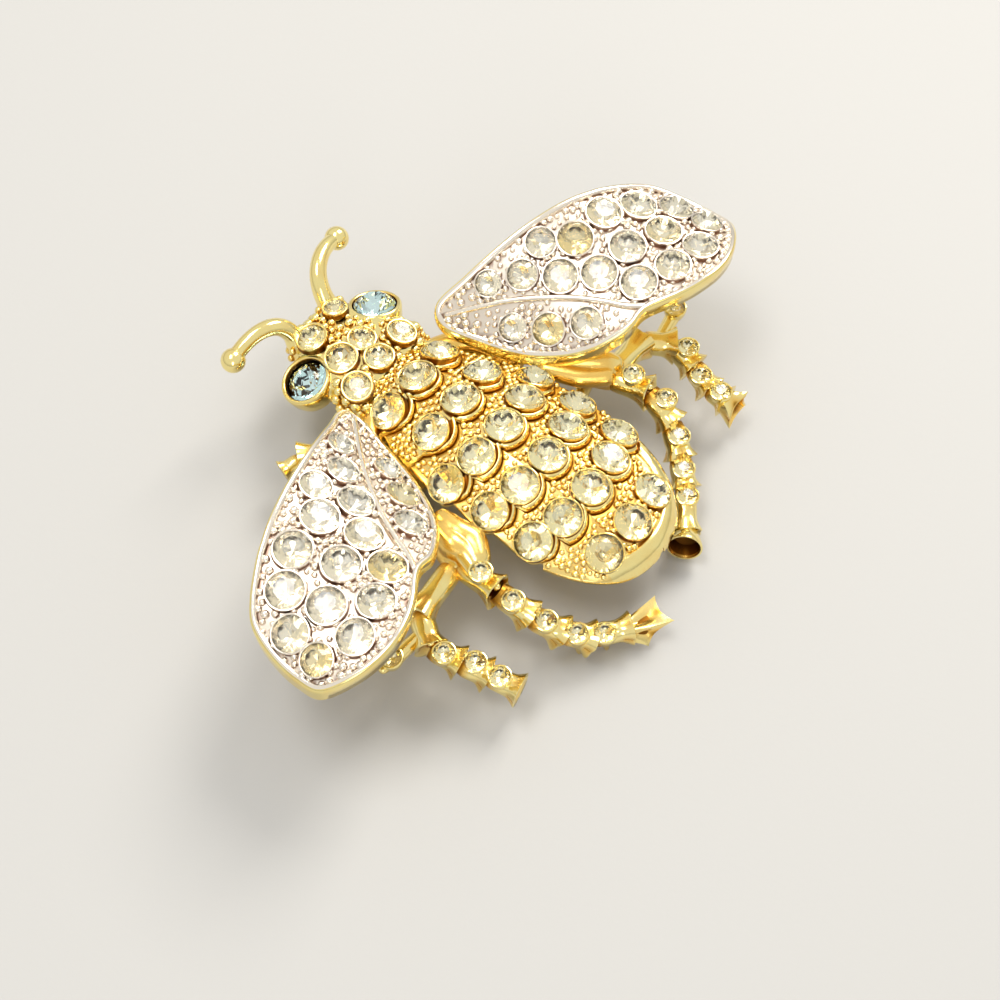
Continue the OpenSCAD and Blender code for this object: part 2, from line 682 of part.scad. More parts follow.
module body() color(gold) centred() {
    difference() {
        union() {
            loft(BODY_RINGS);
            head_core();
            for (s = [-1, 1]) {
                eye_cup(s);
                shoulders(s);
                antenna(s);
            }
        }
        for (s = [-1, 1]) {
            eye_seat(s);
            wing_room(s);
        }
    }
}
module right_legs() {
    front_leg(FRONT_LEG_RIGHT, FRONT_FOOT_RIGHT);
    mid_leg(MID_FOOT_RIGHT, leg_d);
    cup(MID_FOOT_RIGHT, SMALL_CUP_AXIS, small_cup_d, small_cup_l);
    leg(HIND_LEG_RIGHT, pad_rear, CUP_FOOT, leg_d);
    cup(CUP_FOOT, CUP_AXIS, cup_d, cup_l);
    for (i = [3, 4]) toe(HIND_LEG_RIGHT[i]);
}
module left_legs() {
    front_leg(FRONT_LEG_LEFT, FRONT_FOOT_LEFT);
    mid_leg(MID_FOOT_LEFT, flare_d);
    leg(HIND_LEG_LEFT, pad_rear, STAR_FOOT, leg_d);
    star(STAR_FOOT, STAR_AXIS, star_d, star_l);
    for (i = [3, 4]) toe(HIND_LEG_LEFT[i]);
}
module leg_frame() color(gold) centred() difference() {
    union() {
        base_plate();
        for (s = [-1, 1]) shoulder_pad(s);
        right_legs();
        mirror([1, 0, 0]) left_legs();
    }
    for (p = concat(MID_LEG, HIND_LEG_RIGHT, [SPUR_STONE])) if (p[3] != 0) seat_room(p);
    mirror([1, 0, 0]) for (p = concat(MID_LEG, HIND_LEG_LEFT, [SPUR_STONE]))
        if (p[3] != 0) seat_room(p);
}
module wing_left() color(rhodium) centred() place_wing(-1) wing();
module wing_right() color(rhodium) centred() place_wing(1) wing();
module pin_back() color(gold) centred() translate([0, pin_y, 0]) {
    translate([-bar_l / 2, -bar_w / 2, bar_top - bar_t]) cube([bar_l, bar_w, bar_t]);
    for (s = [-1, 1]) translate([s * stem_gap_l - block_l / 2, -bar_w / 2, 0])
        cube([block_l, bar_w, bar_top - bar_t / 2]);
    translate([-stem_gap_l, 0, stem_z]) rotate([0, 90, 0])
        cylinder(d = stem_d, h = 2 * stem_gap_l, $fn = 24);
}
module eye_left() color(aqua) centred() at_eye(-1) translate([0, 0, -eye_sink]) cut_stone(eye_d, 12);
module eye_right() color(aqua) centred() at_eye(1) cut_stone(eye_d, 12);
module head_stones() color(champagne) centred() for (h = HEAD_STONES)
    translate([h[0] * head_w, neck_y + h[1] * head_l, head_z + stone_base + seat_gap])
        cut_stone(h[2] * head_stone_d);
module thorax_stones() color(champagne) centred() for (k = [0:thorax_rows - 1]) row_of_stones(k);
module abdomen_stones() color(champagne) centred() for (k = [thorax_rows:last_row]) row_of_stones(k);
module wing_left_stones() color(clear_stone) centred() place_wing(-1) wing_stones();
module wing_right_stones() color(clear_stone) centred() place_wing(1) wing_stones();
module hind_leg_left_stones() color(champagne) centred() mirror([1, 0, 0]) leg_stones(HIND_LEG_LEFT);
module hind_leg_right_stones() color(champagne) centred() leg_stones(HIND_LEG_RIGHT);
module mid_leg_stones() {
    leg_stones(MID_LEG);
    translate(SPUR_STONE) cut_stone(leg_stone_d);
}
module mid_leg_left_stones() color(champagne) centred() mirror([1, 0, 0]) mid_leg_stones();
module mid_leg_right_stones() color(champagne) centred() mid_leg_stones();

body();
leg_frame();
wing_left();
wing_right();
pin_back();
eye_left();
eye_right();
head_stones();
thorax_stones();
abdomen_stones();
wing_left_stones();
wing_right_stones();
hind_leg_left_stones();
hind_leg_right_stones();
mid_leg_left_stones();
mid_leg_right_stones();
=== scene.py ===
"""Looks of the bee brooch: gold-plated castings, silver-faced wings, cut stones and a soft studio."""

import math
import random

import bmesh
import bpy
import numpy as np
from mathutils import Matrix, Vector
from mathutils.geometry import delaunay_2d_cdt


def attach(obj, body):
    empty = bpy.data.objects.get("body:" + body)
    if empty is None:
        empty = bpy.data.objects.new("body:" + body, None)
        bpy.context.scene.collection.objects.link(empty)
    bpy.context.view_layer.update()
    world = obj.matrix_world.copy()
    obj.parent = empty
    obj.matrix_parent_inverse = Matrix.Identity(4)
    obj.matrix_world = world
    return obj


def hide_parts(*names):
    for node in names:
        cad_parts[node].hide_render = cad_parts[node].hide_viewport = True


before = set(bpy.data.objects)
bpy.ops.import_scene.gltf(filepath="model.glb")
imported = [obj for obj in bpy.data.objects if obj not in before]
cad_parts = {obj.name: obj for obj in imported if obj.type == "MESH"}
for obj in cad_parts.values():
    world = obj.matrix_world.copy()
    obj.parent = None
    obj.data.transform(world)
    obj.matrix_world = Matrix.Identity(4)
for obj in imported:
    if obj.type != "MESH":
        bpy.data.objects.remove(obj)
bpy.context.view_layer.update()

bl_info = {
    "name": "Bee Brooch",
    "version": (1, 0, 0),
    "blender": (4, 5, 0),
    "location": "View3D > Sidebar > Brooch",
    "description": "Builds the visible pieces of a stone-set bee brooch around its solid model",
    "category": "Object",
}

# The brooch is drawn in millimetres about the crest of its body, then set beside it like the solids
MM = 0.001
SHIFT = (0.5, -0.2, 0.0)

SIDES = ((-1, "left"), (1, "right"))

# The body, in shares of its length: how far the neck lies ahead of the crest, and the widest place behind
# the neck. Then how blunt the tail is, and how far the flanks fall as a share of the height
NECK_SHARE, WIDE_SHARE, TAIL_BLUNT, FLANK_FALL = 0.355, 0.56, 2.4, 0.55
# Width and length of the flat back as shares of the body's
BACK_W, BACK_L = 0.68, 0.93
# Outermost stones of a row in stone pitches from the middle: a row of three, and a row of five
LONE_PITCH, OUTER_PITCH = 1.04, 1.84
# Seats of all rows but the first: how far back they lean, and how deep they lie in row steps
SEAT_LEAN, SEAT_SINK = 0.13, 0.42

# Stones on each side of the middle one in each row, from the neck to the tail
ROW_SIDES = (1, 1, 2, 2, 2, 1)
THORAX_ROWS = 2

# Head stones: x as a share of the head's width, y of its length, size share, tilt outwards in degrees
HEAD_STONES = (
    (-0.180, 0.790, 0.95, 14),
    (0.180, 0.825, 0.75, 14),
    (-0.200, 0.390, 1.00, 10),
    (0.060, 0.365, 0.86, 2),
    (-0.350, 0.045, 0.92, 16),
    (-0.002, 0.088, 0.90, 0),
    (0.315, 0.085, 0.90, 16),
)

# Eyes: y as a share of the head's length, height above the back in millimetres, and the direction that the
# right one faces; the left one lies a little towards its cup's rear
EYE_SHARE, EYE_RISE, EYE_FACES, LEFT_EYE_SHIFT = 0.6, 2.6, (0.3, 0.27, 0.915), (-0.05, -0.11, 0.0)

# Antennae: shares of the spread, the reach and the rise, and whether the left one's lower ball tells there
ANTENNA = ((0.15, -0.21, -0.59, 0), (0.13, 0.45, 1.09, 0), (0.33, 1, 1.09, 1), (0.5, 1, 0.38, 1))

# A wing: where its crest lies as a share of the length, how thick its root is as a share of the rest, and at
# what share of the length it has its full thickness
WING_CREST, ROOT_THIN, ROOT_RUN = 0.62, 0.55, 0.45

# Wing outline: share of the length, then shares of the width for the front edge, the rear edge, the ridge
WING_SECTIONS = (
    (0.000, 0.035, -0.085, -0.030),
    (0.105, 0.096, -0.260, -0.070),
    (0.220, 0.168, -0.425, -0.120),
    (0.330, 0.240, -0.532, -0.190),
    (0.420, 0.298, -0.580, -0.262),
    (0.500, 0.345, -0.583, -0.345),
    (0.560, 0.372, -0.560, -0.420),
    (0.617, 0.395, -0.500, -0.468),
    (0.727, 0.417, -0.488, None),
    (0.806, 0.397, -0.455, None),
    (0.890, 0.287, -0.375, None),
    (0.960, 0.142, -0.225, None),
    (1.000, -0.010, None, None),
)

# Wing stones: shares of the length and the width, size share, yellowing of the left and the right one
WING_STONES = (
    (0.174, 0.013, 0.73, 0.0, 0.0),
    (0.282, -0.020, 0.85, 0.0, 0.1),
    (0.363, 0.115, 0.85, 0.1, 0.0),
    (0.396, -0.110, 0.96, 0.0, 0.1),
    (0.471, 0.073, 1.00, 0.0, 0.9),
    (0.514, -0.175, 1.00, 0.2, 0.1),
    (0.585, 0.198, 1.00, 0.1, 0.3),
    (0.623, -0.068, 1.00, 0.0, 0.1),
    (0.622, -0.318, 1.00, 1.0, 0.1),
    (0.707, 0.220, 1.00, 0.1, 0.2),
    (0.753, -0.011, 1.00, 0.0, 0.5),
    (0.740, -0.275, 0.96, 0.1, 0.2),
    (0.830, 0.175, 0.96, 0.2, 0.2),
    (0.849, -0.179, 0.96, 0.1, 0.1),
    (0.908, 0.020, 0.85, 0.9, 0.2),
    (0.217, -0.255, 0.77, 0.0, 0.0),
    (0.321, -0.355, 0.90, 0.8, 0.9),
    (0.437, -0.420, 0.88, 0.1, 0.1),
)

# Across a row's lip: distance beyond the stone's edge in lip widths, height in lip heights, depth of the
# wall behind it in lip falls, how far it stops short of the body's edge in millimetres, painted crevice
# shade
LIP = (
    (0.10, -0.05, 0, 0.15, 0.5), (0.20, 0.62, 0, 0, 0.12), (0.34, 0.96, 0, 0, 0), (0.52, 1.06, 0, 0, 0),
    (0.72, 0.94, 0, 0, 0), (0.90, 0.52, 0, 0, 0.1), (1.00, -0.10, 0, 0.15, 0.3), (1.05, 0, 0.40, 0.4, 0.8),
    (1.14, 0, 1.0, 0.4, 1.15), (1.34, 0, 0.875, 0.4, 0.85),
)

# Across the tail's bright band: distance inside the outline and height in millimetres
TAIL_BAND = ((0, -0.12), (0.1, 0.10), (0.35, 0.30), (0.7, 0.34), (1.0, 0.24), (1.15, 0), (1.3, 0))

# Under a wing's rim: inset in rim widths, height above the underside in millimetres, painted crevice shade
WING_WALL = ((0.35, 0.0, 0.2), (0.08, 0.18, 0.1))
# Across the rim: inset in rim widths, height in field depths, finish (0 gold, 1 rhodium), painted crevice
# shade
WING_RIM = (
    (0.0, -1.1, 0, 0.0), (0.02, -0.45, 0, 0.0), (0.10, -0.10, 0, 0.0), (0.24, 0.06, 0, 0.0),
    (0.42, 0.10, 1, 0.0), (0.60, 0.02, 1, 0.0), (0.74, -0.25, 1, 0.55), (0.80, -1.0, 1, 1.0),
)

# Legs: x, y, z of the top of each segment in millimetres, and 1 where a stone is set.
# What differs by side is listed under -1 for the left side and 1 for the right one.
MID_LEG = (
    (12.4, -3.7, 5.8, 0), (15.3, -5.6, 5.4, 0), (15.4, -7.9, 5.1, 1), (14.4, -9.8, 4.2, 1),
    (14.2, -11.7, 3.9, 1),
)
HIND_LEG = {
    -1: (
        (9.7, -6.9, 7.0, 1), (9.8, -9.7, 6.0, 1), (9.1, -12.0, 4.4, 1), (8.1, -14.0, 3.1, 1),
        (6.7, -15.4, 2.5, 1),
    ),
    1: (
        (9.9, -6.5, 7.0, 1), (10.1, -9.3, 6.0, 1), (8.8, -11.4, 4.5, 1), (7.3, -12.9, 3.3, 1),
        (5.9, -14.2, 2.6, 1),
    ),
}
FRONT_LEG = {
    -1: ((5.9, 7.8, 4.9, 0), (7.7, 9.9, 4.4, 0), (9.1, 10.6, 4.2, 0)),
    1: ((6.1, 7.2, 4.9, 0), (7.8, 7.6, 4.4, 0), (9.5, 6.8, 4.0, 0)),
}
MID_FOOT = {-1: (13.9, -13.2, 3.0), 1: (14.2, -12.2, 3.1)}
FRONT_FOOT = {-1: (9.9, 10.8, 3.2), 1: (10.9, 6.2, 3.0)}
HIND_FOOT = {-1: (5.1, -16.5, 1.9), 1: (3.9, -15.5, 1.5)}
SPUR_STONE = (17.8, -5.2, 5.2)
# Shoulder pads in millimetres: ahead of the body's widest place, above its back, and half a pad's length
PAD_AHEAD, PAD_ABOVE, PAD_HALF = 1.65, 1.55, (0.55, -1.35, 0.0)
PLATE_GAP = 0.1

# Saddles behind the wings: x, y, z and radius in millimetres
SADDLES = {
    -1: (
        ((7.7, -2.2, 6.4, 0.8), (7.9, -3.6, 6.4, 1.0), (7.8, -4.8, 6.2, 1.05), (8.6, -5.9, 6.2, 0.9)),
        ((8.6, -2.6, 6.6, 0.7), (9.0, -3.9, 6.6, 0.95), (9.0, -5.0, 6.4, 0.85), (9.5, -6.3, 6.2, 0.8)),
    ),
    1: (
        ((7.3, 0.9, 6.8, 0.75), (8.35, -1.5, 6.6, 0.95), (9.7, -3.7, 6.4, 0.95), (10.2, -4.6, 6.2, 0.8)),
        ((6.9, -0.8, 6.3, 0.7), (7.4, -2.0, 6.2, 0.8), (8.0, -3.3, 6.1, 0.85), (9.1, -4.7, 6.1, 0.8)),
    ),
}

# Along a leg segment of unit flare width and length: height, radius between the corners, radius at the
# corners, sag of the lower side, painted crevice shade, darkest at the neck inside the segment before
BELL = (
    (0.00, 0.36, 0.36, 0.00, 0.95), (0.08, 0.40, 0.40, 0.00, 0.90), (0.16, 0.43, 0.43, 0.00, 0.75),
    (0.24, 0.45, 0.45, 0.00, 0.50), (0.31, 0.46, 0.46, 0.00, 0.25), (0.37, 0.46, 0.46, 0.00, 0.10),
    (0.43, 0.46, 0.46, 0.00, 0.00), (0.49, 0.46, 0.46, 0.01, 0.00), (0.55, 0.45, 0.46, 0.02, 0.00),
    (0.61, 0.44, 0.46, 0.03, 0.00), (0.68, 0.43, 0.47, 0.04, 0.00), (0.76, 0.44, 0.50, 0.06, 0.00),
    (0.86, 0.48, 0.58, 0.09, 0.00), (0.94, 0.54, 0.66, 0.11, 0.00), (0.99, 0.57, 0.71, 0.12, 0.00),
    (1.01, 0.53, 0.66, 0.11, 0.00), (0.97, 0.42, 0.48, 0.08, 0.35), (0.90, 0.34, 0.36, 0.05, 0.55),
)

# Seat of a leg stone of unit diameter, and the cup of the right hind foot in millimetres:
# radius, height, painted crevice shade; inside the foot's cup it is painted dark
LEG_SEAT = (
    (0.30, -0.80, 0.0), (0.48, -0.62, 0.0), (0.57, -0.35, 0.0), (0.61, -0.12, 0.0), (0.615, -0.02, 0.0),
    (0.59, 0.04, 0.0), (0.545, 0.055, 0.0), (0.505, 0.03, 0.3), (0.494, -0.30, 1.0),
)
FOOT_CUP = (
    (0.7, -0.2, 0.0), (0.9, 0.3, 0.0), (1.15, 0.9, 0.0), (1.32, 1.45, 0.0), (1.3, 1.56, 0.0),
    (1.18, 1.56, 0.0), (1.1, 1.3, 1.0), (0.8, 0.6, 1.5), (0.02, 0.45, 1.6),
)

# Feet that flare to corners, upper two first, in millimetres: the left hind foot and the right middle foot
HORNS = (
    dict(
        neck=(-5.6, -16.3, 1.6), radius=0.8, dips=(0.14, 0.2, 0.14, 0.2), press=0.4,
        corners=((-2.1, -16.6, 2.2), (-2.95, -18.8, 2.2), (-5.0, -18.1, 0.6), (-4.2, -16.0, 0.6)),
    ),
    dict(
        neck=(14.3, -11.9, 2.9), radius=0.9, dips=(0.3, 0.15, 0.1, 0.15), press=0.0,
        corners=((15.5, -13.3, 3.6), (13.0, -13.3, 3.1), (13.1, -13.4, 1.6), (15.4, -13.4, 2.0)),
    ),
)

# Grid of the parts that are cast in one, in millimetres
CAST_GRID = 0.13

# Lamps: name, place, width and height in metres, colour
LAMPS = (
    ("key", (0.30, 0.02, 0.32), 0.16, 0.22, "#FFFCF6"),
    ("top", (-0.05, 0.10, 0.42), 0.22, 0.12, "#FFFFFF"),
    ("fill", (-0.28, -0.22, 0.20), 0.10, 0.20, "#F4F8FF"),
)
# Camera: lens in millimetres, angles in degrees, what it aims at in millimetres, distance in metres
LENS, AZIMUTH, ELEVATION, AIM, DISTANCE = 64.8, -54.5, 60.5, (0.5, -1.8, -2.5), 0.1369


# Sizes and colours that a user would change


def length(name, description, millimetres):
    return bpy.props.FloatProperty(
        name=name, description=description, default=millimetres * MM, min=0.0, unit="LENGTH",
        subtype="DISTANCE", precision=5,
    )


def share(name, description, value):
    return bpy.props.FloatProperty(name=name, description=description, default=value, precision=4)


def angle(name, description, degrees):
    return bpy.props.FloatProperty(
        name=name, description=description, default=math.radians(degrees), unit="ROTATION", subtype="ANGLE"
    )


def power(name, value):
    return bpy.props.FloatProperty(
        name=name, description=f"Power of the {name.lower()}", default=value, min=0.0, unit="POWER"
    )


def colour(name, description, code):
    return bpy.props.FloatVectorProperty(
        name=name, description=description, default=linear(code), size=3, min=0.0, max=1.0, subtype="COLOR"
    )


def linear(code):
    """sRGB hex to the linear values that shaders take."""
    parts = [int(code[i : i + 2], 16) / 255 for i in (1, 3, 5)]
    return tuple(p / 12.92 if p <= 0.04045 else ((p + 0.055) / 1.055) ** 2.4 for p in parts)


class BodySizes(bpy.types.PropertyGroup):
    body_l: length("Body length", "From the neck to the tail", 24.2)
    body_w: length("Body width", "Greatest width of the abdomen", 13.5)
    neck_w: length("Neck width", "Width at the neck", 6.8)
    body_h: length("Crest height", "Height of the crest above the flat back", 4.7)
    neck_h: length("Neck height", "Height of the neck above the flat back", 3.0)
    tail_h: length("Tail thickness", "Thickness of the tail's end", 1.05)
    edge_t: length("Edge thickness", "Height of the rim round the underside", 0.6)
    back_z: length("Back height", "Height of the flat back above the floor", 3.85)
    row_first: length("First row", "From the neck to the middle of the first row", 2.95)
    row_pitch: length("Row pitch", "From the first row to the second", 3.84)
    row_close: length("Row closing", "How much closer each next row sits", 0.06)
    stone_pitch: length("Stone pitch", "From the middle stone of a row to the next one", 2.88)
    row_bow: length("Row bow", "How far the outer stones sit ahead of the middle one", 1.1)
    row_step: length("Row step", "Step down behind each row", 0.45)
    lip_w: length("Lip width", "Width of the lip behind the stones", 0.38)
    lip_h: length("Lip height", "Height of the lip above the row", 0.24)
    lip_fall: length("Lip fall", "How far the wall behind a lip falls below the dome", 0.32)
    bead_d: length("Bead size", "Diameter of the gold beads between the stones", 0.52)


class StoneSizes(bpy.types.PropertyGroup):
    body_d: length("Body stone", "Diameter of the body stones", 2.7)
    head_d: length("Head stone", "Diameter of the largest head stone", 2.2)
    eye_d: length("Eye", "Diameter of the eyes", 3.2)
    wing_d: length("Wing stone", "Diameter of the largest wing stones", 2.6)
    leg_d: length("Leg stone", "Diameter of the leg stones", 1.45)
    crown: share("Crown height", "Height of a stone's crown as a share of its diameter", 0.19)
    pavilion: share("Pavilion depth", "Depth below the girdle as a share of the diameter", 0.34)
    base: length("Base depth", "Height of the girdle above its seat", 0.3)
    gap: length("Seat gap", "Gap between a stone and its seat", 0.06)


class HeadSizes(bpy.types.PropertyGroup):
    head_w: length("Head width", "Width across the head's stones", 8.6)
    head_l: length("Head length", "From the neck to the brow", 7.2)
    head_h: length("Head height", "Height above the flat back", 3.5)
    eye_spread: length("Eye spread", "Between the centres of the eyes", 8.3)
    eye_sink: length("Left eye depth", "How much deeper the left eye sits", 0.3)
    eye_wall: length("Eye cup wall", "Wall of the eye cups", 0.45)
    antenna_spread: length("Antenna spread", "Between the antenna balls", 13.0)
    antenna_reach: length("Antenna reach", "How far the antennae reach ahead of the brow", 2.4)
    antenna_rise: length("Antenna rise", "How far the antennae rise above the head", 1.7)
    antenna_d: length("Antenna thickness", "Thickness of an antenna", 1.2)
    ball_d: length("Ball size", "Diameter of an antenna ball", 1.85)
    left_short: length("Left antenna", "How much less far ahead the left antenna reaches", 0.6)
    left_low: length("Left ball", "How much lower the left antenna's ball lies", 0.25)


class WingSizes(bpy.types.PropertyGroup):
    wing_l: length("Wing length", "From the root to the tip", 22.7)
    wing_w: length("Wing width", "Fore wing and hind wing together", 12.0)
    root_spread: length("Root spread", "Between the two wing roots", 10.8)
    root_back: length("Root setback", "Distance of the roots behind the neck", 0.7)
    root_z: length("Root height", "Height of a wing root", 8.35)
    wing_rise: length("Wing rise", "How far the crest of the wing rises above its root", 3.85)
    sweep: angle("Sweep", "Angle of a wing back from straight out", 36.4)
    skew: angle("Skew", "How much further back the right wing is set, halved", 2.5)
    root_tilt: angle("Root tilt", "Sideways tilt at the root", 39)
    tip_tilt: angle("Tip tilt", "Sideways tilt at the tip", -20)
    droop: length("Wing droop", "How far a wing droops at half its width from its axis", 0.3744)
    wing_t: length("Wing thickness", "Thickness of a wing", 1.6)
    rim_w: length("Rim width", "Width of the wing's rim", 0.65)
    field_d: length("Field depth", "Depth of the stone field below the rim", 0.35)
    grain_d: length("Grain size", "Diameter of the silver grains", 0.62)


class LegSizes(bpy.types.PropertyGroup):
    plate_t: length("Plate thickness", "Thickness of the base plate", 0.7)
    pad_spread: length("Pad spread", "Between the two shoulder pads", 17.9)
    pad_d: length("Pad size", "Diameter of a shoulder pad", 2.0)
    leg_d: length("Leg thickness", "Thickness where a segment starts", 1.2)
    flare_d: length("Flare width", "Width where a segment flares", 2.0)
    leg_drop: length("Leg drop", "Depth of a leg's core below its stones", 0.85)


class FinishColours(bpy.types.PropertyGroup):
    gold: colour("Gold plate", "Polished gold plate", "#FCEAA0")
    # Painted shade: gold in crevices and in the wings' shade is painted orange
    gold_painted_shade: colour("Gold shade", "Gold plate in crevices, toned orange", "#F4B83C")
    # Brown at the bottom of crevices, partly tarnish and partly painted shade
    tarnish_and_shade: colour("Tarnish", "Brown tarnish at the bottom of crevices", "#82541A")
    silver: colour("Rhodium plate", "Warm white rhodium plate", "#FAF0E0")
    # Painted shade: rhodium between the grains is painted pink-grey
    silver_painted_shade: colour("Rhodium shade", "Rhodium plate toned pink-grey between the grains", "#E6D8C8")
    clear: colour("Clear stone", "Clear glass", "#FFFFFF")
    champagne: colour("Champagne stone", "Pale straw glass", "#FFFCE8")
    yellowed: colour("Yellowed stone", "Glass over foil that has turned yellow", "#FFF9E4")
    aqua: colour("Aqua stone", "Aqua glass", "#E8FAFA")
    floor: colour("Floor", "Pale floor", "#BCBAB6")


class StageSettings(bpy.types.PropertyGroup):
    key: power("Key light", 1.3)
    top: power("Top light", 0.62)
    fill: power("Fill light", 0.2)
    world: share("Room light", "Strength of the even room light", 0.88)


class Millimetres:
    """Reads a property group's lengths as millimetres."""

    def __init__(self, group):
        self.group = group

    def __getattr__(self, name):
        return getattr(self.group, name) / MM


# Mesh helpers


def linked(name, data):
    """An object for some data, in the scene."""
    made = bpy.data.objects.new(name, data)
    bpy.context.scene.collection.objects.link(made)
    return made


def removed(*objects):
    for item in objects:
        bpy.data.objects.remove(item)


def metres(points):
    """The brooch's own millimetres as places in the scene."""
    return (np.asarray(points, float) + np.array(SHIFT)) * MM


def read(things, name):
    """A vector of each point or face of a mesh."""
    values = np.zeros(len(things) * 3)
    things.foreach_get(name, values)
    return values.reshape(-1, 3)


def points_of(mesh):
    """A mesh's points in the brooch's own millimetres."""
    return read(mesh.vertices, "co") / MM - np.array(SHIFT)


def move_points(mesh, points):
    mesh.vertices.foreach_set("co", metres(points).ravel())
    mesh.update()


def keep(mesh, name, values, kind="FLOAT", domain="POINT"):
    """Keeps a value for each point or face of a mesh."""
    made = mesh.attributes.new(name, kind, domain)
    made.data.foreach_set("vector" if kind == "FLOAT_VECTOR" else "value", values)


def shade(mesh, sharp):
    """Smooth, but for edges sharper than an angle in degrees."""
    mesh.shade_smooth()
    mesh.set_sharp_from_angle(angle=math.radians(sharp))


def face_outward(mesh, merge=0.0):
    """Turns the faces outward, once points closer than a distance are joined."""
    bm = bmesh.new()
    bm.from_mesh(mesh)
    if merge:
        bmesh.ops.remove_doubles(bm, verts=bm.verts, dist=merge)
    bmesh.ops.recalc_face_normals(bm, faces=bm.faces)
    bm.to_mesh(mesh)
    bm.free()


def spread(value, count):
    """A value for each of a count of things; a list stays as it is."""
    return value if hasattr(value, "__len__") else [value] * count


class Shell:
    """Points and faces of a piece, gathered part by part in millimetres."""

    def __init__(self):
        self.points, self.faces, self.finish, self.depth, self.marks = [], [], [], [], []

    # depth is each point's painted crevice shade, with tarnish where it is darkest
    def add(self, points, faces, finish=0, depth=0.0, mark=0.0):
        start = len(self.points)
        self.points.extend(np.asarray(points, float).tolist())
        self.faces.extend([tuple(start + i for i in f) for f in faces])
        self.finish.extend(spread(finish, len(faces)))
        self.depth.extend(spread(depth, len(points)))
        self.marks.extend(spread(mark, len(faces)))

    def spin(self, profile, at, direction, sides):
        """Adds a form turned from (radius, height, painted crevice shade) rows."""
        dark = np.repeat([row[2] for row in profile], sides)
        self.add(*spun([row[:2] for row in profile], at, direction, sides), depth=dark)

    def build(self, name, materials=(), sharp=40, normals=True):
        """The object in metres, with its finishes, painted crevice shade and marks."""
        mesh = bpy.data.meshes.new(name)
        mesh.from_pydata(metres(self.points).tolist(), [], self.faces)
        mesh.polygons.foreach_set("material_index", self.finish)
        keep(mesh, "crevice", self.depth)
        keep(mesh, "mark", self.marks, domain="FACE")
        for material in materials:
            mesh.materials.append(material)
        if normals:
            face_outward(mesh, 2e-6)
        shade(mesh, sharp)
        return linked(name, mesh)


def unit(v):
    v = np.asarray(v, float)
    return v / np.linalg.norm(v)


def mirrored(side, p):
    """Right-hand places on a side, without anything that follows x, y and z."""
    p = np.asarray(p, float)[..., :3].copy()
    p[..., 0] *= side
    return p


def full_turn(sides):
    return np.linspace(0, 2 * math.pi, sides, endpoint=False)


def circle(at, r, x, y, angles):
    """Points round a centre, in the plane of two unit vectors."""
    return np.asarray(at) + r * (np.cos(angles)[:, None] * x + np.sin(angles)[:, None] * y)


def strips(rows, columns, closed=True):
    """Quads between rows of points."""
    faces = []
    for i in range(0, (rows - 1) * columns, columns):
        for j in range(columns if closed else columns - 1):
            k = (j + 1) % columns
            faces.append((i + j, i + k, i + columns + k, i + columns + j))
    return faces


def tube(rings):
    """A closed form through rings of equal count, with both ends capped."""
    n, m = len(rings[0]), len(rings)
    ends = [tuple(range(n))[::-1], tuple((m - 1) * n + j for j in range(n))]
    return np.concatenate(rings), strips(m, n) + ends


def axes(direction):
    """Two unit vectors across a direction, the first as far down as it can be, and the direction."""
    n = unit(direction)
    x = np.array([0, 0, -1.0]) + n[2] * n
    if np.linalg.norm(x) < 1e-4:
        x = np.array([1.0, 0, 0]) - n[0] * n
    x = unit(x)
    return x, np.cross(n, x), n


def spun(profile, at, direction, sides=24):
    """A form turned about a direction from (radius, height) pairs."""
    x, y, n = axes(direction)
    return tube([circle(at, r, x, y, full_turn(sides)) + h * n for r, h in profile])


def swept(path, radii, sides=16):
    """A round form along a path, closed by round ends."""
    path = np.asarray(path, float)
    radii = np.broadcast_to(np.asarray(radii, float), (len(path),))
    t = np.gradient(path, axis=0)
    t /= np.linalg.norm(t, axis=1)[:, None]
    x = axes(t[0])[0]
    middle = []
    for at, r, along in zip(path, radii, t):
        x = unit(x - (x @ along) * along)
        middle.append((at, r, along, x))
    caps = [(math.cos(math.radians(a)), math.sin(math.radians(a))) for a in (85, 60, 35, 15)]
    (at, r, along, x), (at_end, r_end, along_end, x_end) = middle[0], middle[-1]
    rows = [(at - r * s * along, r * c, along, x) for c, s in caps] + middle
    rows += [(at_end + r_end * s * along_end, r_end * c, along_end, x_end) for c, s in reversed(caps)]
    return tube([circle(at, r, x, np.cross(n, x), full_turn(sides)) for at, r, n, x in rows])


def bar(a, b, ra, rb=None, steps=8, sides=20):
    """A round-ended bar from a to b."""
    s = np.linspace(0, 1, steps)[:, None]
    rb = ra if rb is None else rb
    return swept(np.asarray(a) * (1 - s) + np.asarray(b) * s, ra + (rb - ra) * s[:, 0], sides)


def bezier(p, t):
    p = np.asarray(p, float)
    t = np.asarray(t)[:, None]
    return (1 - t) ** 3 * p[0] + 3 * t * (1 - t) ** 2 * p[1] + 3 * t * t * (1 - t) * p[2] + t**3 * p[3]


def spline(a, b, c, d, t):
    return 0.5 * (2 * b + (c - a) * t + (2 * a - 5 * b + 4 * c - d) * t * t + (3 * b - a - 3 * c + d) * t**3)


def smooth_loop(p, k):
    """A closed line through points, with k steps between two of them."""
    p = np.asarray(p, float)
    n = len(p)
    return np.array([
        spline(p[i - 1], p[i], p[(i + 1) % n], p[(i + 2) % n], j / k) for i in range(n) for j in range(k)
    ])


def smooth_path(p, k):
    """An open line through points, with k steps between two of them."""
    p = np.asarray(p, float)
    n = len(p) - 1
    return np.array([
        spline(p[max(0, i - 1)], p[i], p[i + 1], p[min(n, i + 2)], j / k) for i in range(n) for j in range(k)
    ] + [p[n]])


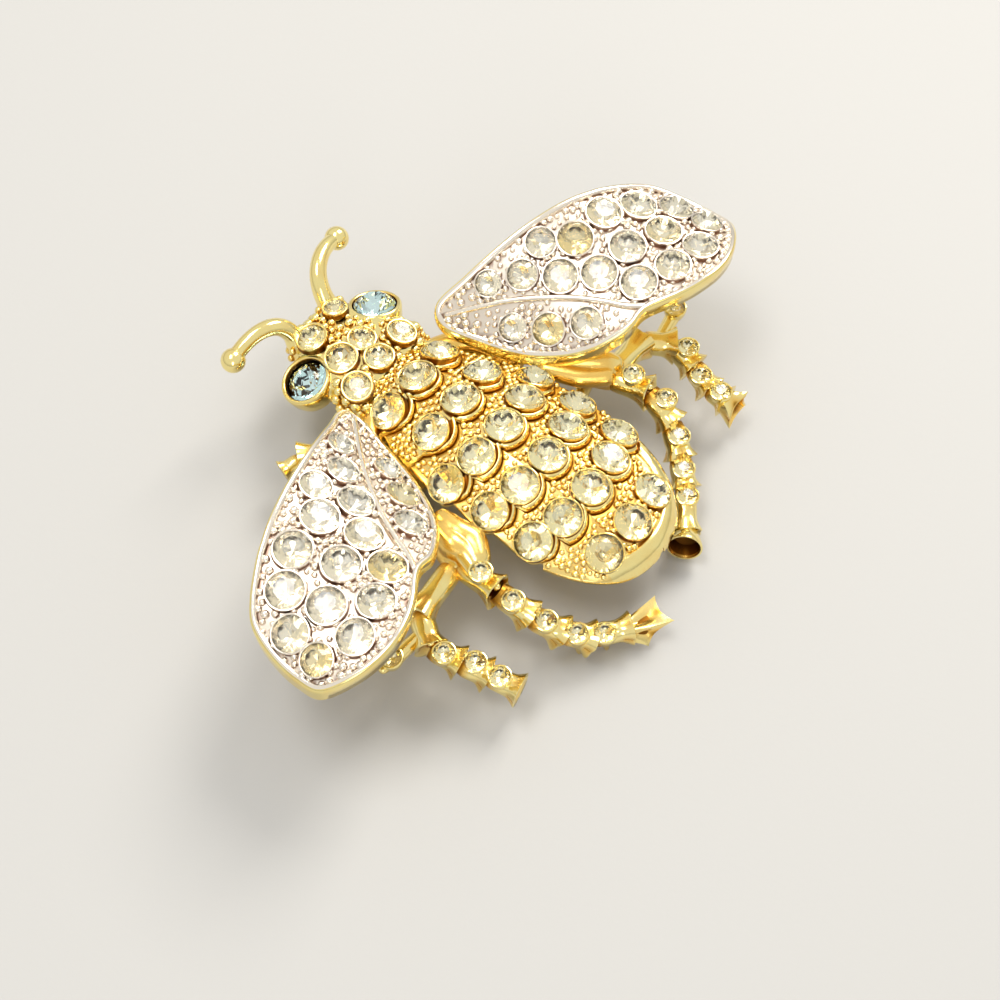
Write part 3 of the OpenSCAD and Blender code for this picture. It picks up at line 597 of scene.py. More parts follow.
def hull(shell, balls):
    """Adds the convex skin round a set of balls (x, y, z, radius)."""
    bm = bmesh.new()
    for x, y, z, r in balls:
        place = Matrix.Translation((x, y, z))
        bmesh.ops.create_uvsphere(bm, u_segments=16, v_segments=10, radius=r, matrix=place)
    made = bmesh.ops.convex_hull(bm, input=bm.verts)
    inner = [item for item in made["geom_interior"] if isinstance(item, bmesh.types.BMVert)]
    bmesh.ops.delete(bm, geom=inner, context="VERTS")
    bm.verts.index_update()
    shell.add([v.co[:] for v in bm.verts], [tuple(v.index for v in f.verts) for f in bm.faces])
    bm.free()


def cast_in_one(shell, name, material):
    """Overlapping parts cast in one, with soft fillets where they meet."""
    rough = shell.build(name + "_rough")
    remesh = rough.modifiers.new("Cast", "REMESH")
    remesh.mode, remesh.voxel_size = "VOXEL", CAST_GRID * MM
    soften = rough.modifiers.new("Soften", "SMOOTH")
    soften.factor, soften.iterations = 0.5, 3
    piece = plain(rough, name)
    piece.data.materials.clear()
    piece.data.materials.append(material)
    piece.data.shade_smooth()
    return piece


def plain(source, name):
    """The source's evaluated result as a plain mesh object; the source goes."""
    graph = bpy.context.evaluated_depsgraph_get()
    graph.update()
    seen = source.evaluated_get(graph)
    mesh = bpy.data.meshes.new_from_object(seen, preserve_all_data_layers=True, depsgraph=graph)
    mesh.name = name
    removed(source)
    return linked(name, mesh)


def join(name, *pieces):
    """One object from several, with each one's materials kept."""
    mesh = bpy.data.meshes.new(name)
    bm = bmesh.new()
    materials = []
    for piece in pieces:
        first = len(bm.faces)
        bm.from_mesh(piece.data)
        bm.faces.ensure_lookup_table()
        places = []
        for material in piece.data.materials:
            if material and material not in materials:
                materials.append(material)
            places.append(materials.index(material) if material else 0)
        for face in bm.faces[first:]:
            face.material_index = places[face.material_index] if places else 0
    bm.to_mesh(mesh)
    bm.free()
    for material in materials:
        mesh.materials.append(material)
    removed(*pieces)
    return linked(name, mesh)


def finish_piece(piece, slot, *nodes):
    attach(piece, "root")
    if nodes:
        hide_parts(*nodes)


# Materials


def wire(tree, made, inputs):
    """Links or sets a node's inputs by name or number."""
    for name, value in inputs.items():
        if isinstance(value, bpy.types.NodeSocket):
            tree.links.new(value, made.inputs[name])
        else:
            made.inputs[name].default_value = value


def node(tree, kind, inputs=None, out=0, **settings):
    """Adds a node with its settings and inputs, and gives one of its outputs, or all of them."""
    made = tree.nodes.new(kind)
    for name, value in settings.items():
        setattr(made, name, value)
    wire(tree, made, inputs or {})
    return made.outputs if out is None else made.outputs[out]


def noise(tree, place, size, detail):
    """Soft patches of a size in millimetres."""
    return node(tree, "ShaderNodeTexNoise", {"Vector": place, "Scale": 1 / (size * MM), "Detail": detail})


def ranged(tree, value, low, high, to_low=0.0, to_high=1.0):
    ends = {"From Min": low, "From Max": high, "To Min": to_low, "To Max": to_high}
    return node(tree, "ShaderNodeMapRange", {"Value": value, **ends})


def blend(tree, factor, first, second):
    """A colour between two, each of them a socket or linear values."""
    ends = [c if isinstance(c, bpy.types.NodeSocket) else rgba(c) for c in (first, second)]
    return node(tree, "ShaderNodeMix", {"Factor": factor, 6: ends[0], 7: ends[1]}, out=2, data_type="RGBA")


def bump(tree, height, strength, millimetres):
    inputs = {"Height": height, "Strength": strength, "Distance": millimetres * MM}
    return node(tree, "ShaderNodeBump", inputs)


def new_material(name):
    material = bpy.data.materials.new(name)
    material.use_nodes = True
    return material, material.node_tree, material.node_tree.nodes["Principled BSDF"]


def rgba(c):
    return (c[0], c[1], c[2], 1.0)


def plated_metal(name, bright, shaded, tarnish_and_shade, roughness):
    """Cast white metal, plated and polished: a mirror-like skin over slight casting waves, duller and
    darker in the crevices, partly as tarnish where no mop reaches and partly as painted shade."""
    material, tree, shader = new_material(name)
    place = node(tree, "ShaderNodeTexCoord", out="Object")
    crevice = node(tree, "ShaderNodeAttribute", out="Fac", attribute_name="crevice")
    # Patches of 2 mm where the plate has aged, and casting waves of 0.35 mm
    age = ranged(tree, noise(tree, place, 2.0, 3.0), 0.45, 0.75, 0.0, 0.35)
    # Painted shade: the crevice value, or the aged patches where they are stronger, tone the plate to its
    # shaded colour, then to brown that is partly tarnish and partly painted shade
    shade_and_age = node(tree, "ShaderNodeMath", {0: crevice, 1: age}, operation="MAXIMUM")
    waves = noise(tree, place, 0.35, 2.0)
    skin = blend(tree, shade_and_age, bright, shaded)
    skin = blend(tree, ranged(tree, crevice, 0.65, 1.0), skin, tarnish_and_shade)
    # Painted shadow: the deepest hollows, where no light or mop reaches, are painted nearly black
    skin = blend(tree, ranged(tree, crevice, 1.0, 2.0), skin, (0.012, 0.008, 0.005))
    wire(tree, shader, {
        "Base Color": skin,
        "Metallic": 1.0,
        "Roughness": ranged(tree, shade_and_age, 0.0, 1.0, roughness, roughness + 0.22),
        "Normal": bump(tree, waves, 0.25, 0.03),
    })


def by_tint(name, fresh, aged, inputs):
    """A material whose colour runs from fresh to aged by each stone's own tint."""
    material, tree, shader = new_material(name)
    tint = node(tree, "ShaderNodeAttribute", out="Fac", attribute_name="tint")
    wire(tree, shader, {"Base Color": blend(tree, tint, fresh, aged), **inputs})


def cut_glass(name, fresh, aged):
    """Lead glass, cut and polished: clear, with sharp facets that bend what lies under them."""
    by_tint(name, fresh, aged, {"Roughness": 0.0, "IOR": 1.56, "Transmission Weight": 1.0})


def foil(name, fresh, aged, roughness):
    """Mirror foil on the back of a stone: bright metal that throws the light back through the facets."""
    by_tint(name, linear(fresh), linear(aged), {"Metallic": 1.0, "Roughness": roughness})


def finishes():
    """The brooch's finishes by name, made once."""
    c = bpy.context.scene.brooch_colours
    made = bpy.data.materials
    if "polished_gold_plate" not in made:
        plated_metal("polished_gold_plate", c.gold, c.gold_painted_shade, c.tarnish_and_shade, 0.13)
        # The rhodium's brown at the bottom of crevices is partly tarnish and partly painted shade
        plated_metal("polished_rhodium_plate", c.silver, c.silver_painted_shade, linear("#8C6C5A"), 0.16)
        plated_metal("nickel_pin_steel", linear("#C9B98F"), linear("#8C7440"), linear("#4A3A20"), 0.25)
        cut_glass("clear_lead_glass", c.clear, c.yellowed)
        cut_glass("champagne_lead_glass", c.champagne, c.yellowed)
        cut_glass("aqua_lead_glass", c.aqua, c.aqua)
        foil("silver_foil", "#FEF9EA", "#FCF2D2", 0.14)
        foil("straw_foil", "#FFFBE6", "#FDF2CC", 0.12)
        foil("aqua_foil", "#F6FFFF", "#F6FFFF", 0.03)
    return made


# Geometry node trees


def new_tree(name, *sockets):
    """A geometry tree with named inputs and one geometry output, and the inputs' sockets inside it."""
    tree = bpy.data.node_groups.new(name, "GeometryNodeTree")
    for label, kind, *value in (("Geometry", "Geometry"), *sockets):
        made = tree.interface.new_socket(name=label, in_out="INPUT", socket_type="NodeSocket" + kind)
        if value:
            made.default_value = value[0]
    tree.interface.new_socket(name="Geometry", in_out="OUTPUT", socket_type="NodeSocketGeometry")
    return tree, node(tree, "NodeGroupInput", out=None)


def named(tree, name, kind="FLOAT"):
    return node(tree, "GeometryNodeInputNamedAttribute", {"Name": name}, data_type=kind)


def shape_of(tree, item):
    return node(tree, "GeometryNodeObjectInfo", {"Object": item}, out="Geometry")


def seats_tree():
    """Sets a shape on every point of a mesh, turned and sized by the point's own attributes."""
    if "Set on seats" in bpy.data.node_groups:
        return bpy.data.node_groups["Set on seats"]
    tree, given = new_tree(
        "Set on seats", ("Shape", "Object"), ("Face finish", "Material"), ("Back finish", "Material")
    )
    placed = node(tree, "GeometryNodeInstanceOnPoints", {
        "Points": given["Geometry"],
        "Instance": shape_of(tree, given["Shape"]),
        "Rotation": node(tree, "FunctionNodeEulerToRotation", {0: named(tree, "turn", "FLOAT_VECTOR")}),
        "Scale": named(tree, "size", "FLOAT_VECTOR"),
    })
    real = node(tree, "GeometryNodeRealizeInstances", {"Geometry": placed})
    faced = node(tree, "GeometryNodeSetMaterial", {"Geometry": real, "Material": given["Face finish"]})
    back = {"Selection": named(tree, "back", "BOOLEAN"), "Material": given["Back finish"]}
    backed = node(tree, "GeometryNodeSetMaterial", {"Geometry": faced, **back})
    node(tree, "NodeGroupOutput", {"Geometry": backed}, out=None)
    return tree


def grains_tree():
    """Strews grains over the marked faces of a surface and keeps them clear of the stones."""
    if "Strew grains" in bpy.data.node_groups:
        return bpy.data.node_groups["Strew grains"]
    tree, given = new_tree(
        "Strew grains", ("Grain", "Object"), ("Stones", "Object"), ("Spacing", "Float", 0.0006),
        ("Clear of stones", "Float", 0.0003), ("Size", "Float", 0.0006), ("Variation", "Float", 0.2),
        ("Seed", "Int", 7), ("Finish", "Material"),
    )
    wanted = node(
        tree, "FunctionNodeCompare", {0: named(tree, "mark"), 1: 0.5}, data_type="FLOAT",
        operation="GREATER_THAN",
    )
    strewn = node(
        tree, "GeometryNodeDistributePointsOnFaces",
        {"Mesh": given["Geometry"], "Selection": wanted, "Distance Min": given["Spacing"],
         "Density Max": 6e7, "Density Factor": 1.0, "Seed": given["Seed"]},
        out=None, distribute_method="POISSON",
    )
    # The nearest stone's middle and radius say how much room a grain has
    here = node(tree, "GeometryNodeInputPosition")
    stones = shape_of(tree, given["Stones"])
    nearest = node(
        tree, "GeometryNodeSampleNearest", {"Geometry": stones, "Sample Position": here}, domain="POINT"
    )
    at, radius = [
        node(
            tree, "GeometryNodeSampleIndex", {"Geometry": stones, "Value": value, "Index": nearest},
            data_type=kind,
        )
        for value, kind in ((here, "FLOAT_VECTOR"), (named(tree, "radius"), "FLOAT"))
    ]
    away = node(tree, "ShaderNodeVectorMath", {0: here, 1: at}, out="Value", operation="DISTANCE")
    room = node(tree, "ShaderNodeMath", {0: away, 1: radius}, operation="SUBTRACT")
    crowded = node(
        tree, "FunctionNodeCompare", {0: room, 1: given["Clear of stones"]}, data_type="FLOAT",
        operation="LESS_THAN",
    )
    kept = node(
        tree, "GeometryNodeDeleteGeometry", {"Geometry": strewn["Points"], "Selection": crowded},
        domain="POINT",
    )
    least = node(tree, "ShaderNodeMath", {0: 1.0, 1: given["Variation"]}, operation="SUBTRACT")
    vary = node(
        tree, "FunctionNodeRandomValue", {2: least, 3: 1.1, "Seed": given["Seed"]}, out=1,
        data_type="FLOAT",
    )
    placed = node(tree, "GeometryNodeInstanceOnPoints", {
        "Points": kept,
        "Instance": shape_of(tree, given["Grain"]),
        "Rotation": strewn["Rotation"],
        "Scale": node(tree, "ShaderNodeMath", {0: vary, 1: given["Size"]}, operation="MULTIPLY"),
    })
    real = node(tree, "GeometryNodeRealizeInstances", {"Geometry": placed})
    done = node(tree, "GeometryNodeSetMaterial", {"Geometry": real, "Material": given["Finish"]})
    node(tree, "NodeGroupOutput", {"Geometry": done}, out=None)
    return tree


def run_tree(base, tree, name, **inputs):
    """Runs a tree on a base object, with its inputs set by the sockets' identifiers."""
    keys = {s.name: s.identifier for s in tree.interface.items_tree if s.in_out == "INPUT"}
    modifier = base.modifiers.new("Pattern", "NODES")
    modifier.node_group = tree
    for key, value in inputs.items():
        modifier[keys[key.replace("_", " ")]] = value
    return plain(base, name)


def template(name, points, faces, depth=0.0, backs=()):
    """A shape of unit size that the trees repeat; faces in backs are a stone's foiled back."""
    mesh = bpy.data.meshes.new(name)
    mesh.from_pydata([tuple(p) for p in points], [], faces)
    keep(mesh, "back", [i in backs for i in range(len(faces))], "BOOLEAN", "FACE")
    # Each point's painted crevice shade
    keep(mesh, "crevice", np.broadcast_to(depth, (len(points),)))
    if backs:
        face_outward(mesh)
    else:
        shade(mesh, 50)
    return linked(name, mesh)


def ring_of(r, z, n, turn=0.0):
    """Points of a level ring about the middle; turn is in steps from one point to the next."""
    step = 2 * math.pi / n
    return [(r * math.cos(step * (j + turn)), r * math.sin(step * (j + turn)), z) for j in range(n)]


def cut_stone():
    """A round brilliant of unit diameter, girdle at z = 0: table, 8 star, 8 main and 16 girdle facets above,
    8 main and 16 girdle facets below."""
    s = bpy.context.scene.brooch_stones
    rows = (
        (0.285, s.crown, 8, 0), (0.39, s.crown * 0.56, 8, 0.5), (0.5, 0.012, 16, 0), (0.5, -0.012, 16, 0),
        (0.20, -s.pavilion * 0.66, 8, 0.5),
    )
    points = [p for row in rows for p in ring_of(*row)] + [(0, 0, -s.pavilion)]
    star, upper, lower, keel, tip = 8, 16, 32, 48, 56
    faces = [tuple(range(8))]
    for j in range(8):
        a, b, c = upper + 2 * j, upper + 2 * j + 1, upper + (2 * j + 2) % 16
        faces.append((j, star + j, (j + 1) % 8))
        faces.append((j, star + (j - 1) % 8, a, star + j))
        faces.append((star + j, a, b))
        faces.append((star + j, b, c))
    for j in range(16):
        faces.append((upper + j, lower + j, lower + (j + 1) % 16, upper + (j + 1) % 16))
    front = len(faces)
    for j in range(8):
        a, b, c = lower + 2 * j, lower + 2 * j + 1, lower + (2 * j + 2) % 16
        faces.append((keel + j, b, a))
        faces.append((keel + j, c, b))
        faces.append((keel + j, tip, keel + (j + 1) % 8, c))
    return template("cut_stone", points, faces, backs=range(front, len(faces)))


def grain():
    """A grain a unit across: a dome on a short foot, few faces because it is repeated hundreds of times."""
    rows = ((0.5, -0.25), (0.5, 0.14), (0.43, 0.38), (0.24, 0.53))
    points = [p for r, z in rows for p in ring_of(r, z, 8)] + [(0, 0, 0.57)]
    faces = strips(4, 8) + [(24 + j, 24 + (j + 1) % 8, 32) for j in range(8)]
    # Painted shade: the grain's foot is dark
    return template("grain", points, faces, [1.0] * 8 + [0.82] * 8 + [0.0] * 17)


def collar(name, profile, sides=28):
    """A ring-shaped wall turned from (radius, height, painted crevice shade) rows."""
    points = [p for r, z, dark in profile for p in ring_of(r, z, sides)]
    return template(name, points, strips(len(profile), sides), np.repeat([row[2] for row in profile], sides))


def bezel(wall, height, foot):
    """A thin collar round a stone of unit diameter."""
    # Painted shade: darkest at the foot and on the inner side
    return collar("bezel", (
        (0.5 + wall * 1.3, -foot, 1.0), (0.5 + wall, -0.05, 1.0), (0.5 + wall * 0.85, height * 0.7, 0.2),
        (0.5 + wall * 0.5, height, 0.0), (0.5 + wall * 0.1, height * 0.75, 0.3), (0.494, 0.0, 1.0),
        (0.494, -foot, 1.0),
    ))


def seat_points(name, seats):
    """A mesh of bare points that carry each seat's turn, size, radius and tint."""
    mesh = bpy.data.meshes.new(name)
    mesh.from_pydata(metres([s["at"] for s in seats]).tolist(), [], [])
    turns, sizes = [], []
    for s in seats:
        x, y, n = axes(s["normal"])
        c, d = math.cos(s.get("twist", 0)), math.sin(s.get("twist", 0))
        turns.extend(Matrix(np.array([x * c + y * d, y * c - x * d, n]).T.tolist()).to_euler("XYZ"))
        sizes.extend(v * MM for v in spread(s["d"], 3))
    keep(mesh, "turn", turns, "FLOAT_VECTOR")
    keep(mesh, "size", sizes, "FLOAT_VECTOR")
    keep(mesh, "tint", [s.get("tint", 0.0) for s in seats])
    keep(mesh, "radius", [width / 2 for width in sizes[::3]])
    return linked(name, mesh)


def set_shapes(name, seats, shape, face, back=None):
    """One plain mesh of the shape at every seat."""
    base = seat_points(name + "_seats", seats)
    made = run_tree(base, seats_tree(), name, Shape=shape, Face_finish=face, Back_finish=back or face)
    removed(shape)
    return made


def set_stones(name, seats, glass, cad_node):
    """Cut stones of a glass over the foil that goes with it."""
    foiled = {"clear": "silver_foil", "champagne": "straw_foil", "aqua": "aqua_foil"}[glass]
    made = set_shapes(name, seats, cut_stone(), finishes()[glass + "_lead_glass"], finishes()[foiled])
    finish_piece(made, glass + "_stone", cad_node)


def strew(name, surface, seats, spacing, clear, size, seed, finish, variation=0.2):
    """Grains over the marked faces of a surface, clear of the seats; the surface goes."""
    stones, shape = seat_points(name + "_stones", seats), grain()
    base = linked(name + "_base", surface.data.copy())
    made = run_tree(
        base, grains_tree(), name, Grain=shape, Stones=stones, Spacing=spacing * MM,
        Clear_of_stones=clear * MM, Size=size * MM, Variation=variation, Seed=seed, Finish=finish,
    )
    removed(stones, shape, surface)
    return made


def pressed(points, seats, depth, reach, slab=1.5):
    """Points pressed down under the stones, to a depth in stone sizes below the girdle; only those within
    the reach, in stone radii, and within the slab, in millimetres about the girdle."""
    for seat in seats:
        rel = points - seat["at"]
        h = rel @ seat["normal"]
        off = np.linalg.norm(rel - h[:, None] * seat["normal"], axis=1)
        low = -depth * seat["d"]
        near = (np.abs(h) < slab) * (h > low)
        inside = np.clip(1 - (off / (reach * (seat["d"] / 2))) ** 6, 0, 1) * near
        points += ((low - h) * inside)[:, None] * seat["normal"]
    return points


# The body


class BodyForm:
    """The dome of the thorax and abdomen and its six overlapping rows."""

    def __init__(self):
        scene = bpy.context.scene
        b = self.b = Millimetres(scene.brooch_body)
        self.s = Millimetres(scene.brooch_stones)
        self.neck_y = b.body_l * NECK_SHARE
        self.tail_y = self.neck_y - b.body_l
        self.wide_y = self.neck_y - b.body_l * WIDE_SHARE
        self.front_l = (self.neck_y - self.wide_y) / math.sqrt(1 - (b.neck_w / b.body_w) ** 2)
        self.rear_l = self.wide_y - self.tail_y
        self.outer = OUTER_PITCH * b.stone_pitch
        self.last = len(ROW_SIDES) - 1

    def half_w(self, y):
        """Half the body's width: an ellipse ahead of the widest place, a blunter one behind it."""
        b = self.b
        front = b.body_w / 2 * np.sqrt(np.clip(1 - ((y - self.wide_y) / self.front_l) ** 2, 0, None))
        back = np.clip((self.wide_y - y) / self.rear_l, 0, 1) ** TAIL_BLUNT
        return np.where(y > self.wide_y, front, b.body_w / 2 * (1 - back) ** (1 / TAIL_BLUNT))

    def level(self, x, behind):
        """1 on the tail's outline and less inside it, by the distance behind the widest place."""
        p = TAIL_BLUNT
        return ((np.abs(x) / (self.b.body_w / 2)) ** p + (behind / self.rear_l) ** p) ** (1 / p)

    def inside(self, x, y):
        """Distance inside the tail's outline."""
        behind = self.wide_y - y
        return (1 - self.level(x, np.clip(behind, 0, None))) * np.hypot(x, behind)

    def dome(self, x, y):
        b = self.b
        ahead = (b.body_h - b.neck_h) * (y / self.neck_y) ** 2
        behind = (b.body_h - b.tail_h) * (y / self.tail_y) ** 2
        top = b.back_z + b.body_h - np.where(y > 0, ahead, behind)
        across = np.minimum(1, np.abs(x) / np.maximum(self.half_w(y), 0.3))
        return top - FLANK_FALL * (top - b.back_z) * across**2

    def bow(self, x):
        return self.b.row_bow * (np.abs(x) / self.outer) ** 2.2

    def row_y(self, k):
        b = self.b
        return self.neck_y - b.row_first - k * b.row_pitch + b.row_close * k * (k - 1) / 2

    def places(self, k):
        """Distances of a row's stones from the middle, on one side; a lone one sits a little further out."""
        if ROW_SIDES[k] == 1:
            return [0.0, self.b.stone_pitch * LONE_PITCH]
        return [0.0, self.b.stone_pitch, self.outer]

    def lip_y(self, k, x, r):
        """Scalloped line at the distance r behind a row's stones."""
        spots = np.array(self.places(k))
        a = np.abs(x)
        near = spots[np.argmin(np.abs(a[:, None] - spots[None, :]), axis=1)]
        d = np.abs(a - near)
        y = self.row_y(k) + self.bow(near) - np.sqrt(np.maximum(r * r - d * d, (0.45 * r) ** 2))
        return y + np.where(a > spots[-1], self.bow(x) - self.bow(spots[-1]), 0)

    def cross_line(self, s, y, at, cut=0.0):
        """x and y of a line across the body near y, at shares s of its half width less a cut."""
        w = self.half_w(np.array([y]))
        for _ in range(6):
            w = self.half_w(at(w))
        x = s * (float(w[0]) - cut)
        return x, at(x)

    def lip_line(self, s, k, r, cut=0.0):
        return self.cross_line(s, self.row_y(k), lambda x: self.lip_y(k, x, r), cut)

    def seat(self, k, x):
        """Middle and direction of the seat of a row's stone; all but the first row lean back."""
        y = self.row_y(k) + float(self.bow(np.array([x]))[0])
        e = self.s.body_d * 0.35
        near = np.array([[0, 0], [-1, 0], [1, 0], [0, -1], [0, 1]])
        z, left, right, behind, ahead = self.dome(x + e * near[:, 0], y + e * near[:, 1])
        sunk, lean = (SEAT_SINK * self.b.row_step, 2 * e * SEAT_LEAN) if k else (0, 0)
        n = unit([left - right, behind - ahead + lean, 2 * e])
        return {"at": np.array([x, y, z - sunk]) + n * (self.s.base + 0.1), "normal": n, "d": self.s.body_d}

    def seats(self, first, end, chance):
        made = []
        for k in range(first, end):
            for i in range(-ROW_SIDES[k], ROW_SIDES[k] + 1):
                seat = self.seat(k, math.copysign(self.places(k)[abs(i)], i))
                seat.update(twist=chance.uniform(0, 0.8), tint=chance.choice((0.0, 0.1, 0.25, 0.5)))
                made.append(seat)
        return made


def row_lines(form, s):
    """Cross lines over the rows: (x, y), lift above the dome, painted crevice shade, and 1 where beads may
    lie.
    """
    b, r = form.b, form.s.body_d / 2
    rows = [(form.cross_line(s, form.neck_y, lambda x: np.full_like(x, form.neck_y)), 0.0, 0.3, 0)]
    for k in range(form.last):
        (x0, y0), lift0, _, _ = rows[-1]
        x1, y1 = form.lip_line(s, k, r + LIP[0][0] * b.lip_w)
        # Painted shade on each bed, darkest just behind the lip before it
        for t in np.arange(1, 12) / 12:
            lift = lift0 * (1 - t) + LIP[0][1] * b.lip_h * t
            rows.append(((x0 * (1 - t) + x1 * t, y0 * (1 - t) + y1 * t), lift, 0.08 + 0.5 * (1 - t) ** 2, 1))
        for out, up, fall, cut, dark in LIP:
            line = form.lip_line(s, k, r + out * b.lip_w, cut)
            rows.append((line, up * b.lip_h - fall * b.lip_fall, dark, 0))
    return rows


def body_shell(form):
    """Thorax and abdomen as one lofted casting, with room under the stones for their backs."""
    b = form.b
    n, tail_steps = 241, 26
    s = np.linspace(-1, 1, n)
    edge = 1 - s**8
    rows = row_lines(form, s)
    points = [np.stack([x, y, form.dome(x, y) + lift * edge], 1) for (x, y), lift, _, _ in rows]
    dark = [np.full(n, crevice) for _, _, crevice, _ in rows]
    marks = [bed for _, _, _, bed in rows] + [1] * tail_steps
    # Tail: from the last step to even angles round the outline, with a rounded band along the outline
    (x0, y0), lift0, _, _ = rows[-1]
    first = math.atan2(form.wide_y - y0[0], abs(x0[0]))
    angles = np.linspace(math.pi - first, first, n)
    level = form.level(np.cos(angles), np.sin(angles))
    x1, y1 = np.cos(angles) / level, form.wide_y - np.sin(angles) / level
    for i in range(1, tail_steps + 1):
        t = (i / tail_steps) ** 0.85
        x, y = x0 * (1 - t) + x1 * t, y0 * (1 - t) + y1 * t
        off = form.inside(x, y)
        # The band fades out towards the left flank
        fade = np.clip((x + 5.0) / 2.0, 0, 1)
        band = fade * np.interp(off, *zip(*TAIL_BAND))
        lift = lift0 * max(0.0, 1 - t / 0.6) * edge
        points.append(np.stack([x, y, form.dome(x, y) + lift + band], 1))
        # Painted shade: the tail is toned darker inside its band, and a little darker on the left flank
        # where the band fades
        dark.append(np.where(off * fade > 1.05, 0.55, np.where(fade > 0.5, 0.0, 0.35)))
    m = len(points)
    seats = form.seats(0, form.last + 1, random.Random(1))
    top = pressed(np.concatenate(points), seats, depth=0.40, reach=0.92, slab=1.6).reshape(m, n, 3)
    # Beads lie on the beds and keep off the edge and the tail's band
    x, off = top[:-1, :-1, 0], form.inside(top[:-1, :-1, 0], top[:-1, :-1, 1])
    in_tail = (np.arange(1, m) >= len(rows))[:, None]
    bare = in_tail & (((off < 1.3) & (x > -4.2)) | (off < 0.25))
    beaded = np.array(marks[1:], bool)[:, None] & (np.abs(s[:-1]) < 0.985) & ~bare
    shell = Shell()
    shell.add(
        top.reshape(-1, 3), strips(m, n, closed=False), depth=np.concatenate(dark),
        mark=beaded.astype(float).ravel(),
    )
    # Edge: up the left flank, round the tail and back up the right flank
    loop = np.concatenate([top[: len(rows), 0], top[-1], top[::-1, -1][tail_steps:]])

    def drawn_in(share_x, share_y, z):
        """The edge, smaller and at a height; ahead of the widest place its y stays."""
        ring = loop.copy()
        ring[:, 0] *= share_x
        behind = form.wide_y + (loop[:, 1] - form.wide_y) * share_y
        ring[:, 1] = np.where(loop[:, 1] < form.wide_y, behind, loop[:, 1])
        ring[:, 2] = z
        return ring

    walls = [loop]
    for part, drop in ((1.004, 0.25), (0.995, 0.75), (0.97, 1.0)):
        walls.append(drawn_in(part, part, np.maximum(loop[:, 2] - b.edge_t * drop, b.back_z + 0.12)))
    under = drawn_in(BACK_W, BACK_L, b.back_z)
    walls.append(under)
    # Painted shade: the edge walls, the front face and the underside are toned darker
    shell.add(np.concatenate(walls), strips(len(walls), len(loop), closed=False), depth=0.25)
    front_low = top[0].copy()
    front_low[:, 0] *= BACK_W
    front_low[:, 2] = b.back_z
    shell.add(np.concatenate([top[0], front_low]), strips(2, n, closed=False), depth=0.6)
    rim = np.concatenate([under, front_low[::-1][1:-1]])
    fan = [(i, (i + 1) % len(rim), len(rim)) for i in range(len(rim))]
    shell.add(np.concatenate([rim, rim.mean(0)[None, :]]), fan, depth=0.3)
    return shell


class HeadForm(BodyForm):
    """The body's form with the head's sizes and the places of its brow and its top."""

    def __init__(self):
        super().__init__()
        h = self.h = Millimetres(bpy.context.scene.brooch_head)
        self.brow, self.top = self.neck_y + h.head_l, self.b.back_z + h.head_h

    def eye(self, side):
        """Middle and direction of an eye."""
        h = self.h
        ahead, above = self.neck_y + h.head_l * EYE_SHARE, self.b.back_z + EYE_RISE
        return np.array([side * h.eye_spread / 2, ahead, above]), unit(mirrored(side, EYE_FACES))

    def eye_cup(self, side):
        """Radius, height and painted crevice shade across an eye's cup, painted nearly black inside; the
        left eye sits deeper.
        """
        inner, outer = self.s.eye_d / 2 + 0.06, self.s.eye_d / 2 + self.h.eye_wall
        sink = self.h.eye_sink if side < 0 else 0.0
        return (
            (outer * 0.9, -1.6, 0), (outer * 0.985, -1.0, 0), (outer, -0.2, 0), (outer - 0.05, 0, 0),
            (outer - 0.16, 0.1, 0), (outer - 0.3, 0.08, 0.2), (inner, -0.06, 1.7),
            (inner - 0.02, -0.3 - sink, 2.0), (inner - 0.35, -0.9 - sink, 1.9), (0.02, -1.35 - sink, 1.9),
        )

    def head_seats(self):
        h, s = self.h, self.s
        made = []
        chance = random.Random(5)
        for x, y, size, tilt in HEAD_STONES:
            out = np.zeros(3)
            if abs(x) + abs(y - 0.4) > 0.05:
                out = unit([x * h.head_w, (y - 0.4) * h.head_l * 0.7, 0])
            made.append({
                "at": np.array([x * h.head_w, self.neck_y + y * h.head_l, self.top + s.base + s.gap]),
                "normal": unit(np.array([0, 0, 1.0]) + math.tan(math.radians(tilt)) * out),
                "d": size * s.head_d,
                "twist": chance.uniform(0, 0.8),
                "tint": chance.choice((0, 0.2, 0.4)),
            })
        return made


